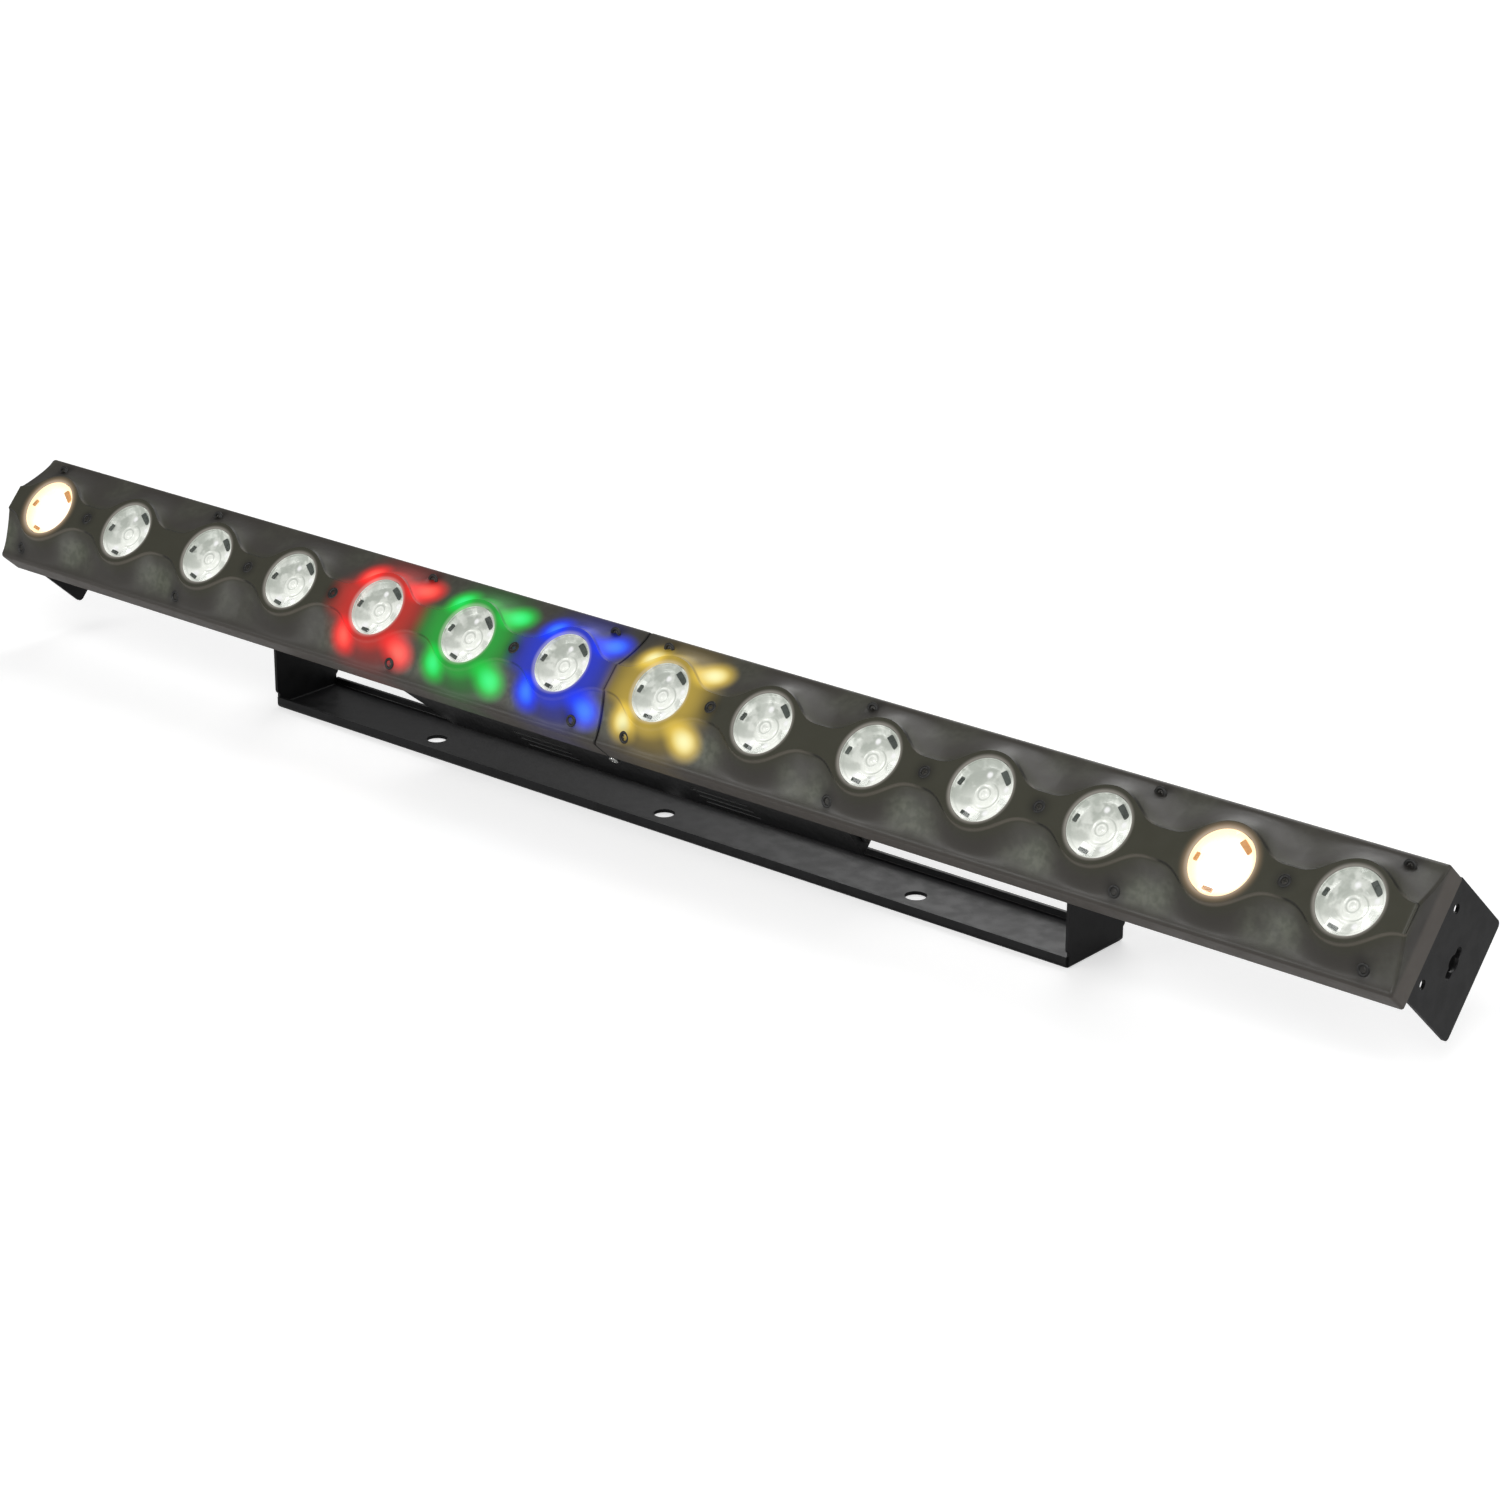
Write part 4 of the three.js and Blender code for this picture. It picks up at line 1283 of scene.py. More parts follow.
@dataclass(frozen=True)
class CircuitBoard:
    """Green solder mask over copper tracks."""

    effects: Effects

    def build(self) -> Material:
        """Makes the material.

        Returns:
            The material.
        """
        paint = Paint("green_circuit_board")
        nodes = paint.nodes
        tracks = nodes.add("TexVoronoi", feature="DISTANCE_TO_EDGE", distance="MANHATTAN")
        nodes.feed(tracks.inputs["Vector"], paint.bar_place())
        tracks.inputs["Scale"].default_value = 140
        line = nodes.ease(tracks.outputs[0], 0.05, 0.09, 1.0, 0.0)
        grain = nodes.group(self.effects.grain, Place=paint.place, Size=0.8 * MM)
        base = nodes.mix(line, (0.018, 0.075, 0.032), (0.035, 0.13, 0.055))
        paint.set(
            Base_Color=nodes.mix(nodes.times(grain.outputs["Tone"], 0.3), base,
                                 (0.01, 0.05, 0.022)),
            Roughness=0.35,
            Coat_Weight=0.4,
        )
        paint.bump(line, 0.05 * MM, 0.6)
        return paint.material


def led_package(effects: Effects) -> Material:
    """Yellow phosphor of a white LED in its pale package.

    Args:
        effects: The shared groups.

    Returns:
        The material.
    """
    paint = Paint("white_led_package")
    nodes = paint.nodes
    grain = nodes.group(effects.grain, Place=paint.place, Size=0.5 * MM)
    paint.set(
        Base_Color=nodes.mix(grain.outputs["Tone"], (0.82, 0.66, 0.22), (0.86, 0.80, 0.62)),
        Roughness=nodes.math("MULTIPLY_ADD", grain.outputs["Tone"], 0.2, 0.3),
    )
    return paint.material


def dark_window(effects: Effects) -> Material:
    """Glossy smoked red acrylic over the display.

    Args:
        effects: The shared groups.

    Returns:
        The material.
    """
    paint = Paint("smoked_display_window")
    nodes = paint.nodes
    marks = nodes.group(effects.scuff, Place=paint.place, Amount=0.5)
    grain = nodes.group(effects.grain, Place=paint.place, Size=2 * MM)
    paint.set(
        Base_Color=nodes.mix(grain.outputs["Tone"], (0.020, 0.0035, 0.005), (0.034, 0.005, 0.007)),
        Roughness=nodes.math("MULTIPLY_ADD", marks.outputs["Mask"], 0.3, 0.06),
        Coat_Weight=0.5,
        Coat_Roughness=0.03,
    )
    return paint.material


class Finishes:
    """Every material of the batten, built once."""

    def __init__(self) -> None:
        """Builds the effects and the materials."""
        effects = Effects()
        self.paint = powder_coat(effects)
        self.cover = SmokedPlastic(effects).build()
        self.lens = {
            LensLight.OFF: LensSilver(effects, LensLight.OFF).build(),
            LensLight.WARM: LensSilver(effects, LensLight.WARM, (1.0, 0.86, 0.68),
                                       (1.0, 0.98, 0.93)).build(),
        }
        self.front = clear_front()
        self.plastic = moulded(effects, "black_moulded_plastic", (0.018, 0.018, 0.019), 0.42)
        # Painted light: the clips of the lit lenses are orange, standing in for the LED's light
        # falling on them.
        self.clip = {
            light: moulded(effects, f"lens_clip_{light.value}", colour, rough)
            for light, colour, rough in ((LensLight.OFF, (0.05, 0.06, 0.052), 0.25),
                                         (LensLight.WARM, (0.55, 0.27, 0.09), 0.3))
        }
        self.plated = bare_metal(effects, "zinc_plated_steel", (0.62, 0.62, 0.60), 0.24)
        self.brass = bare_metal(effects, "gilded_contact", (0.80, 0.58, 0.25), 0.2)
        self.supply = bare_metal(effects, "galvanised_sheet", (0.52, 0.54, 0.55), 0.38)
        self.board = CircuitBoard(effects).build()
        self.led = led_package(effects)
        self.window = dark_window(effects)
        self.button, self.ring, self.blackened = (
            moulded(effects, name, colour, rough) for name, colour, rough in (
                ("menu_button_plastic", (0.035, 0.035, 0.037), 0.5),
                ("screw_well_plastic", (0.008, 0.0078, 0.007), 0.45),
                ("blackened_screw", (0.026, 0.024, 0.020), 0.42),
            )
        )


# ---- Sub-assemblies -------------------------------------------------------------------------


@dataclass
class CoverScrews:
    """Screws in the covers' necks and slopes."""

    finishes: Finishes
    neck_cells: tuple[int, ...] = (1, 3, 4, 6)
    slope_along: tuple[float, ...] = (19.6 * MM, 160.4 * MM, 341 * MM, 482.4 * MM)
    slope_up: float = 27.3 * MM
    well_radius: float = 2.7 * MM
    well_roll: float = 1.0 * MM
    head_radius: float = 1.85 * MM
    slot_width: float = 0.5 * MM

    def places(self, side: Side) -> list[Point]:
        """Where the screws of one cover are, along and across the bar.

        Args:
            side: Which cover.

        Returns:
            The places.
        """
        necks = [(side.value * cell * LAYOUT.pitch, 0.0) for cell in self.neck_cells]
        slopes = [(side.value * x, y) for x in self.slope_along
                  for y in (self.slope_up, -self.slope_up)]
        return necks + slopes

    @staticmethod
    def square_to(x: float, y: float, surface: Callable[[float, float], float]) -> Matrix:
        """Frame on the cover at a place, with z square to its face.

        Args:
            x: Place along the bar.
            y: Place across it.
            surface: Height of the cover at a place.

        Returns:
            The frame.
        """
        reach = 2.5 * MM
        along = Vector((2 * reach, 0, surface(x + reach, y) - surface(x - reach, y)))
        across = Vector((0, 2 * reach, surface(x, y + reach) - surface(x, y - reach)))
        turn = along.cross(across).to_track_quat("Z", "Y").to_matrix().to_4x4()
        return Matrix.Translation((x, y, surface(x, y))) @ turn

    def _head(self) -> Piece:
        """One head at the origin, with its slots cut before it meets its well.

        Returns:
            The head, as a piece to copy from.
        """
        edge = arc((self.head_radius - 0.4 * MM, -0.8 * MM), 0.4 * MM, 0, 90, 4)
        profile = [(0, -3 * MM), (self.head_radius, -3 * MM), *edge, (0, -0.35 * MM)]
        head = Shape().use(1).turned(profile, steps=32).object("screw_head")
        combine(head, Shape().slab(cross(self.slot_width, 2.4 * MM), -1 * MM, 1 * MM))
        return head

    def build(self, side: Side, surface: Callable[[float, float], float]) -> None:
        """Makes the screws of one cover.

        Args:
            side: Which cover.
            surface: Height of that cover at a place.
        """
        screws, head = Shape(), self._head()
        roll = [(r, z * 0.75) for r, z in arc((self.well_radius, 0), self.well_roll, 0, 330, 11)]
        for x, y in self.places(side):
            screw = Shape().turned(roll, (0, 0, -0.45 * MM), steps=32, closed=True)
            screw.bm.from_mesh(head.data)
            screws.take(screw.moved(self.square_to(x, y, surface)))
        bpy.data.objects.remove(head)
        piece = screws.object(f"cover_screws_{side.word}")
        soften(piece, 0)
        install(piece, "bar", [self.finishes.ring, self.finishes.blackened], Slot.PLATED,
                place=BAR.matrix)


@dataclass
class SmokedCovers:
    """The two moulded covers: a raised band that swells round each lens, over hollow slopes."""

    finishes: Finishes
    screws: CoverScrews
    neck: float = 7.8 * MM
    swell: float = 21.5 * MM
    fillet: float = 12 * MM
    step: float = 0.75 * MM
    step_width: float = 0.9 * MM
    corner: float = 2.6 * MM
    drop: float = 13 * MM
    hollow: float = 1.45
    cell: float = 0.95 * MM
    wall: float = 1.7 * MM
    hole: float = LAYOUT.lens_radius + 0.3 * MM
    lip: float = 0.35 * MM
    end_round: float = 1.5 * MM
    seam_round: float = 1.1 * MM
    seam_gap: float = 0.15 * MM
    boss_radius: float = 9 * MM
    dimple: float = 0.5 * MM
    end_steps: int = 4

    @property
    def shoulder(self) -> float:
        """Where the slopes end and the long corners start."""
        return LAYOUT.half_height - self.corner

    def beyond(self, x: float, y: float) -> float:
        """How far a place lies outside the raised band's outline.

        Args:
            x: Place along the bar.
            y: Place across it.

        Returns:
            The distance, below 0 inside.
        """
        index = math.floor(x / LAYOUT.pitch)
        round_part = math.hypot(x - (index + 0.5) * LAYOUT.pitch, y) - self.swell
        straight = abs(y) - self.neck
        blend = max(self.fillet - abs(round_part - straight), 0.0) / self.fillet
        return min(round_part, straight) - blend * blend * self.fillet / 4

    def band_edge(self, x: float) -> float:
        """Half height of the raised band at a place along the bar.

        Args:
            x: Place along the bar.

        Returns:
            The half height.
        """
        low, high = 0.0, self.shoulder
        for _ in range(26):
            middle = (low + high) / 2
            low, high = (middle, high) if self.beyond(x, middle) < 0 else (low, middle)
        return low

    def surface(self, x: float, y: float) -> float:
        """Height of the cover's face at a place.

        Args:
            x: Place along the bar.
            y: Place across it.

        Returns:
            The height.
        """
        away = max(0.0, self.beyond(x, y))
        left = max(0.0, self.shoulder - abs(y))
        share = away / (away + left) if away else 0.0
        fall = (self.drop - self.step) * (1 - (1 - share) ** self.hollow)
        return -self.step * smooth(away / self.step_width) - fall

    def stations(self) -> list[tuple[str, float]]:
        """Rows of the mesh from the middle of the band to the rim, by zone and share.

        Returns:
            The rows.
        """
        rows = [("band", share / 8) for share in range(9)]
        rows += [("step", 0.33), ("step", 0.66), ("step", 1.0)]
        rows += [("slope", ((i + 1) / 14) ** 1.15) for i in range(14)]
        rows += [("corner", (i + 1) / 6) for i in range(6)]
        rows += [("side", (i + 1) / 3) for i in range(3)]
        return rows

    def row_point(self, zone: str, share: float, x: float, edge: float) -> Point:
        """Place and height of a mesh row at a place along the bar.

        Args:
            zone: The row's zone.
            share: How far into that zone the row is.
            x: Place along the bar.
            edge: Half height of the raised band there.

        Returns:
            Distance from the middle line, and height.
        """
        if zone == "band":
            return edge * share, 0.0
        if zone == "step":
            y = edge + self.step_width * share
            return y, self.surface(x, y)
        if zone == "slope":
            start = edge + self.step_width
            y = start + (self.shoulder - start) * share
            return y, self.surface(x, y)
        if zone == "corner":
            angle = share * math.pi / 2
            sink = self.corner * (1 - math.cos(angle))
            return self.shoulder + self.corner * math.sin(angle), -self.drop - sink
        foot = self.drop + self.corner
        return LAYOUT.half_height, -foot - (LAYOUT.cover_depth - foot) * share

    def build(self, side: Side) -> None:
        """Makes one cover and its screws.

        Args:
            side: Which cover.
        """
        inner, outer = self.seam_gap + self.seam_round, LAYOUT.half_length - self.end_round
        start, stop = (-outer, -inner) if side is Side.LEFT else (inner, outer)
        shape = Shape()
        self._sheet(shape.bm, start, stop)
        self._dimples(shape.bm, side)
        self._open_holes(shape.bm, LAYOUT.centres(side))
        for x, way in ((start, -1), (stop, 1)):
            at_seam = abs(x) < LAYOUT.pitch
            self._close_end(shape.bm, x, way, self.seam_round if at_seam else self.end_round)
        self._face_out(shape.bm)
        piece = shape.raw_object(f"smoked_cover_{side.word}")
        shell = piece.modifiers.new("wall", "SOLIDIFY")
        shell.thickness = self.wall
        shell.offset = -1
        apply_modifiers(piece)
        soften(piece, 0, angle=42)
        install(piece, "bar", [self.finishes.cover], Slot.COVER, [f"cover_{side.word}"],
                BAR.matrix)
        self.screws.build(side, self.surface)

    def _sheet(self, bm: Mesh, start: float, stop: float) -> None:
        """Bends a flat grid to the cover's face and sides, row by row.

        Args:
            bm: The cover's mesh.
            start: Where it starts along the bar.
            stop: Where it ends.
        """
        rows = self.stations()
        columns = round((stop - start) / self.cell)
        bmesh.ops.create_grid(bm, x_segments=columns, y_segments=2 * len(rows) - 2, size=0.5)
        levels = {y: i for i, y in enumerate(sorted({round(v.co.y, 6) for v in bm.verts}))}
        middle = len(rows) - 1
        edges: dict[float, float] = {}
        outline = bm.verts.layers.float.new("outline")
        for vert in bm.verts:
            x = start + (stop - start) * (vert.co.x + 0.5)
            rank = levels[round(vert.co.y, 6)] - middle
            if x not in edges:
                edges[x] = self.band_edge(x)
            zone, share = rows[abs(rank)]
            y, height = self.row_point(zone, share, x, edges[x])
            vert.co = (x, math.copysign(y, rank), height)
            vert[outline] = max(y - edges[x], -4 * MM) if zone == "band" else self.beyond(x, y)

    def _dimples(self, bm: Mesh, side: Side) -> None:
        """Sinks a small well under each screw and marks the boss behind it.

        Args:
            bm: The cover's mesh.
            side: Which cover.
        """
        reach = self.screws.well_radius + self.screws.well_roll
        boss = bm.verts.layers.float.new("boss")
        for x, y in self.screws.places(side):
            for vert in bm.verts:
                away = math.hypot(vert.co.x - x, vert.co.y - y)
                if away < self.boss_radius:
                    vert[boss] = 1 - smooth(away / self.boss_radius)
                if away < reach:
                    vert.co.z -= self.dimple * smooth((reach - away) / (0.5 * reach))

    def _open_holes(self, bm: Mesh, centres: Sequence[float]) -> None:
        """Opens a round hole with a rolled lip at each lens.

        Args:
            bm: The cover's mesh.
            centres: Where the lenses are along the bar.
        """
        start = self.hole + self.lip
        for centre in centres:
            middle = Vector((centre, 0, 0))
            inside = {
                vert for vert in bm.verts
                if vert.co.z > -LEVEL and (vert.co - middle).length < start + 0.35 * self.cell
            }
            gone = [face for face in bm.faces if all(vert in inside for vert in face.verts)]
            bmesh.ops.delete(bm, geom=gone, context="FACES")
            ring = [vert for vert in inside if vert.is_valid]
            edges = [edge for edge in {e for v in ring for e in v.link_edges} if edge.is_boundary]
            for vert in ring:
                vert.co = middle + (vert.co - middle).normalized() * start
            for radius, height in (*self._lip_points(), (self.hole, -2.2 * MM)):
                made = bmesh.ops.extrude_edge_only(bm, edges=edges)["geom"]
                edges = [item for item in made if isinstance(item, Edge)]
                for vert in {vert for edge in edges for vert in edge.verts}:
                    flat = Vector((vert.co.x - centre, vert.co.y, 0)).normalized() * radius
                    vert.co = middle + flat + Vector((0, 0, height))

    def _lip_points(self) -> list[Point]:
        """Radius and height of the lip's steps."""
        return arc((self.hole + self.lip, -self.lip), self.lip, 90, 180, 4)[1:]

    def _close_end(self, bm: Mesh, x: float, way: int, radius: float) -> None:
        """Rounds an end's edge and closes it with a wall.

        Args:
            bm: The cover's mesh.
            x: Where the face ends.
            way: 1 towards +x and -1 towards -x.
            radius: Size of the rounding.
        """
        edges = [e for e in bm.edges if e.is_boundary
                 and all(abs(v.co.x - x) < LEVEL for v in e.verts)]
        here, base = {}, {}
        for vert in {v for e in edges for v in e.verts}:
            ends = [e.other_vert(vert).co for e in vert.link_edges if e in edges]
            along = (ends[0] - ends[1]) if len(ends) == 2 else (ends[0] - vert.co)
            normal = Vector((0, along.z, -along.y)).normalized()
            centre = Vector((0, 0, -LAYOUT.cover_depth))
            toward = centre - Vector((0, vert.co.y, vert.co.z))
            here[vert] = normal if normal.dot(toward) > 0 else -normal
            base[vert] = vert.co.copy()
        for step in range(1, self.end_steps + 1):
            angle = step / self.end_steps * math.pi / 2
            made = bmesh.ops.extrude_edge_only(bm, edges=edges)["geom"]
            edges = [item for item in made if isinstance(item, Edge)]
            fresh = {v for e in edges for v in e.verts}
            previous = {}
            for vert in fresh:
                others = (e.other_vert(vert) for e in vert.link_edges)
                old = next(other for other in others if other in here)
                previous[vert] = (here[old], base[old])
            for vert, (normal, root) in previous.items():
                shift = Vector((way * radius * math.sin(angle), 0, 0))
                sink = normal * radius * (1 - math.cos(angle))
                vert.co = root + shift + (sink if abs(root.z + LAYOUT.cover_depth) > LEVEL
                                          else Vector((0, sink.y, 0)))
            here = {v: n for v, (n, _) in previous.items()}
            base = {v: r for v, (_, r) in previous.items()}
        ends = sorted(here, key=lambda v: (round(v.co.z, 6), v.co.y))[:2]
        closing = bm.edges.new(ends)
        bmesh.ops.contextual_create(bm, geom=edges + [closing])

    @staticmethod
    def _face_out(bm: Mesh) -> None:
        """Turns every face outwards.

        Args:
            bm: The cover's mesh.
        """
        bmesh.ops.recalc_face_normals(bm, faces=bm.faces)
        bm.normal_update()
        tops = [face for face in bm.faces if face.calc_center_median().z > -LEVEL]
        if sum(face.normal.z for face in tops) < 0:
            bmesh.ops.reverse_faces(bm, faces=bm.faces)


@dataclass
class LensUnits:
    """Fourteen lenses, each a clear front over a rippled bright inside, held by three clips."""

    finishes: Finishes
    front_level: float = -0.6 * MM
    front_thickness: float = 0.7 * MM
    rim_width: float = 0.65 * MM
    eye_reach: float = 15 * MM
    back_level: float = -5 * MM
    LIT: ClassVar[tuple[int, int]] = (1, 13)

    def build(self) -> None:
        """Makes every lens."""
        centres = LAYOUT.centres(Side.LEFT) + LAYOUT.centres(Side.RIGHT)
        for number, centre in enumerate(centres, 1):
            self._lens(number, centre)

    def _ripples(self) -> list[Point]:
        """Radius and height of the inside, from the middle out.

        Returns:
            The profile.
        """
        rings = [
            (0, -1.7), (1.1, -1.85), (1.9, -2.35), (2.3, -2.2), (2.9, -2.0), (3.5, -2.35),
            (4.0, -2.2), (4.6, -1.9), (5.2, -2.3), (5.9, -3.6), (7.2, -4.3), (8.4, -4.35),
            (9.0, -4.0), (9.6, -4.25), (11.2, -4.2), (12.0, -3.8), (12.6, -4.0), (14.0, -3.4),
            (15.4, -2.5), (16.4, -1.75), (16.9, -1.5),
        ]
        return [(r * MM, z * MM) for r, z in rings]

    def _lens(self, number: int, centre: float) -> None:
        """Makes one lens.

        Args:
            number: Its number, from the left.
            centre: Its place along the bar.
        """
        light = LensLight.WARM if number in self.LIT else LensLight.OFF
        shape = Shape()
        outer = LAYOUT.lens_radius
        inner = outer - self.rim_width
        rim = arc((outer - self.rim_width / 2, self.front_level - 0.35 * MM),
                  self.rim_width / 2, 180, 0, 8)
        skirt = [(outer, -3.6 * MM), (outer - 1.2 * MM, -5.6 * MM), (0, -6 * MM)]
        profile = [*self._ripples(), (inner, -1.4 * MM), *rim, *skirt]
        shape.use(0).turned(profile, steps=72)
        self._shift_eye(shape)
        self._clips(shape.use(1), number)
        top, low = self.front_level, self.front_level - self.front_thickness
        front = [(0, top), (inner - 0.1 * MM, top), (inner, top - 0.1 * MM), (inner, low),
                 (0, low)]
        shape.use(2).turned(front, steps=72)
        piece = shape.moved(Matrix.Translation((centre, 0, 0))).object(f"lens_unit_{number:02d}")
        soften(piece, 0, angle=50)
        finishes = self.finishes
        materials = [finishes.lens[light], finishes.clip[light], finishes.front]
        install(piece, "bar", materials, Slot.LENS, [f"lens_{number:02d}"], BAR.matrix)

    def _shift_eye(self, shape: Shape) -> None:
        """Moves the middle rings off centre, less and less towards the rim.

        Args:
            shape: The lens's inside.
        """
        for vert in shape.bm.verts:
            if vert.co.z >= self.back_level:
                share = 1 - smooth(math.hypot(vert.co.x, vert.co.y) / self.eye_reach)
                vert.co.x += LENS_EYE[0] * share
                vert.co.y += LENS_EYE[1] * share

    @staticmethod
    def _clips(shape: Shape, number: int) -> None:
        """Adds the three holder clips under the lens's edge.

        Args:
            shape: The lens in the making.
            number: The lens's number.
        """
        turn = math.radians((number * 37) % 11 - 5)
        tip = Matrix.Rotation(math.radians(14), 4, "X")
        for angle, wide, deep in ((178, 4.6, 2.0), (260, 6.4, 2.2), (50, 7.4, 3.4)):
            out = Matrix.Translation(((15.6 - deep / 2) * MM, 0, -2.2 * MM))
            place = Matrix.Rotation(math.radians(angle) + turn, 4, "Z") @ out @ tip
            size = Matrix.Diagonal((deep * MM, wide * MM, 1.5 * MM, 1))
            verts = bmesh.ops.create_cube(shape.bm, size=1, matrix=place @ size)["verts"]
            shape.dress(verts)
            edges = list({edge for vert in verts for edge in vert.link_edges})
            bmesh.ops.bevel(shape.bm, geom=edges, offset=0.35 * MM, segments=2, profile=0.5,
                            affect="EDGES", material=-1)


@dataclass
class ElectronicsBox:
    """The folded steel box behind the tray, with its sockets, window and menu buttons."""

    finishes: Finishes
    front_length: float = 332 * MM
    rear_length: float = 304 * MM
    half_height: float = 33.4 * MM
    wall: float = 1.4 * MM
    vent_x: float = 66.5 * MM
    vent_length: float = 40 * MM
    vent_width: float = 2.2 * MM
    vent_depths: tuple[float, ...] = (17.6 * MM, 25.8 * MM, 34 * MM)
    socket_up: float = 15.6 * MM
    socket_radius: float = 11 * MM
    socket_flange: float = 27 * MM
    socket_screws: tuple[Point, Point] = ((-10.2 * MM, 10.2 * MM), (10.2 * MM, -10.2 * MM))
    recess_radius: float = 9 * MM
    recess_depth: float = 10 * MM
    window_length: float = 46 * MM
    window_height: float = 18 * MM
    window_up: float = 8 * MM
    button_up: float = -12 * MM
    button_pitch: float = 15 * MM
    button_radius: float = 3.6 * MM
    button_out: float = 2.2 * MM
    screw_depth: float = 5.2 * MM

    @property
    def rear(self) -> float:
        """Outer face of the box's rear wall."""
        return LAYOUT.behind_tray - LAYOUT.box_depth

    def outline(self, inset: float) -> list[Point]:
        """The box's outline along the bar, set in by a wall.

        Args:
            inset: How far it is set in.

        Returns:
            The outline.
        """
        front, rear = self.front_length / 2 - inset, self.rear_length / 2 - inset
        mouth = LAYOUT.behind_tray + (inset and self.wall)
        return [(-front, mouth), (-rear, self.rear + inset), (rear, self.rear + inset),
                (front, mouth)]

    def socket_place(self, side: Side, up: int) -> Matrix:
        """Frame of a socket, with z out of the leaning end face.

        Args:
            side: Which end face.
            up: 1 for the upper socket, -1 for the lower.

        Returns:
            The frame.
        """
        middle = (self.front_length + self.rear_length) / 4
        taper = math.atan2((self.front_length - self.rear_length) / 2, LAYOUT.box_depth)
        spot = (side.value * middle, up * self.socket_up,
                LAYOUT.behind_tray - LAYOUT.box_depth / 2)
        turn = Matrix.Rotation(side.value * (math.pi / 2 + taper), 4, "Y")
        return Matrix.Translation(spot) @ turn

    def button_places(self) -> list[float]:
        """Where the menu buttons are along the bar."""
        return [(index - 1.5) * self.button_pitch for index in range(4)]

    def build(self) -> None:
        """Makes the box and everything in its walls."""
        self._box()
        self._window()
        self._buttons()
        self._sockets()
        self._screws()

    def _box(self) -> None:
        """Makes the folded box."""
        piece = Shape().slab(self.outline(0), -self.half_height, self.half_height, "y").object(
            "box_shell")
        inner = self.half_height - self.wall
        combine(piece, Shape().slab(self.outline(self.wall), -inner, inner, "y"))
        holes = Shape()
        for y in (-self.half_height, self.half_height):
            for depth in self.vent_depths:
                for x in (-self.vent_x, self.vent_x):
                    self._vent(holes, x, y, LAYOUT.behind_tray - depth)
            holes.rod(1.8 * MM, (0, LAYOUT.behind_tray - self.screw_depth), y - 3 * MM,
                      y + 3 * MM, "y", 24)
        back = (self.rear - 1 * MM, self.rear + self.wall + 1 * MM)
        low = (-self.window_length / 2 + 3 * MM, self.window_up - self.window_height / 2 + 3 * MM)
        high = (-low[0], self.window_up + self.window_height / 2 - 3 * MM)
        holes.slab(rounded(low, high, 1.5 * MM), *back)
        for x in self.button_places():
            holes.rod(self.button_radius + 0.3 * MM, (x, self.button_up), *back, segments=40)
        combine(piece, holes)
        for side in Side:
            for up in (-1, 1):
                bore = Shape().rod(self.socket_radius + 0.3 * MM, (0, 0), -3 * MM, 3 * MM)
                combine(piece, bore.moved(self.socket_place(side, up)))
        soften(piece, 0.35 * MM, 2, 40)
        install(piece, "bar", [self.finishes.paint], Slot.PAINT, ["electronics_box"], BAR.matrix)

    def _vent(self, holes: Shape, x: float, y: float, z: float) -> None:
        """Adds one round-ended vent slot to the cutters.

        Args:
            holes: The cutters.
            x: Middle of the slot along the bar.
            y: The wall it goes through.
            z: Its depth.
        """
        half, reach = self.vent_width / 2, 3 * MM
        low, high = (x - self.vent_length / 2, z - half), (x + self.vent_length / 2, z + half)
        holes.slab(rounded(low, high, half * 0.98, 6), y - reach, y + reach, "y")

    def _window(self) -> None:
        """Makes the display window with its frame."""
        top = self.rear - LAYOUT.slack
        low = (-self.window_length / 2, self.window_up - self.window_height / 2)
        high = (self.window_length / 2, self.window_up + self.window_height / 2)
        piece = Shape().slab(rounded(low, high, 2 * MM), top - 1.2 * MM, top).object(
            "display_pane")
        soften(piece, 0.3 * MM, 2)
        install(piece, "bar", [self.finishes.window], Slot.WINDOW, ["display_window"], BAR.matrix)

    def _buttons(self) -> None:
        """Makes the four menu buttons, each on its own body."""
        seat = self.rear + self.wall + LAYOUT.slack
        tip = self.rear - self.button_out
        edge = arc((self.button_radius - 0.6 * MM, tip + 0.6 * MM), 0.6 * MM, -90, 0, 5)
        profile = [(0, tip + 0.25 * MM), (1.6 * MM, tip + 0.12 * MM), *edge,
                   (self.button_radius, seat), (5 * MM, seat), (5 * MM, seat + 1.2 * MM),
                   (0, seat + 1.2 * MM)]
        for number, x in enumerate(self.button_places(), 1):
            piece = Shape().turned(profile, (x, self.button_up, 0), steps=48).object(
                f"menu_key_cap_{number}")
            soften(piece, 0)
            install(piece, f"menu_key_{number}", [self.finishes.button], Slot.PLASTIC,
                    [f"menu_button_{number}"], BAR.matrix)

    def _sockets(self) -> None:
        """Makes the two signal and two power sockets."""
        kinds = (
            ("signal_in_socket", Side.LEFT, 1, 1.2 * MM, 5.0 * MM, 0),
            ("power_in_socket", Side.LEFT, -1, 1.6 * MM, 4.4 * MM, 3),
            ("signal_out_socket", Side.RIGHT, 1, 1.4 * MM, 4.0 * MM, 0),
            ("power_out_socket", Side.RIGHT, -1, 1.6 * MM, 4.4 * MM, 2),
        )
        for node, side, up, contact, spread, keys in kinds:
            self._socket(node, self.socket_place(side, up), contact, spread, keys)

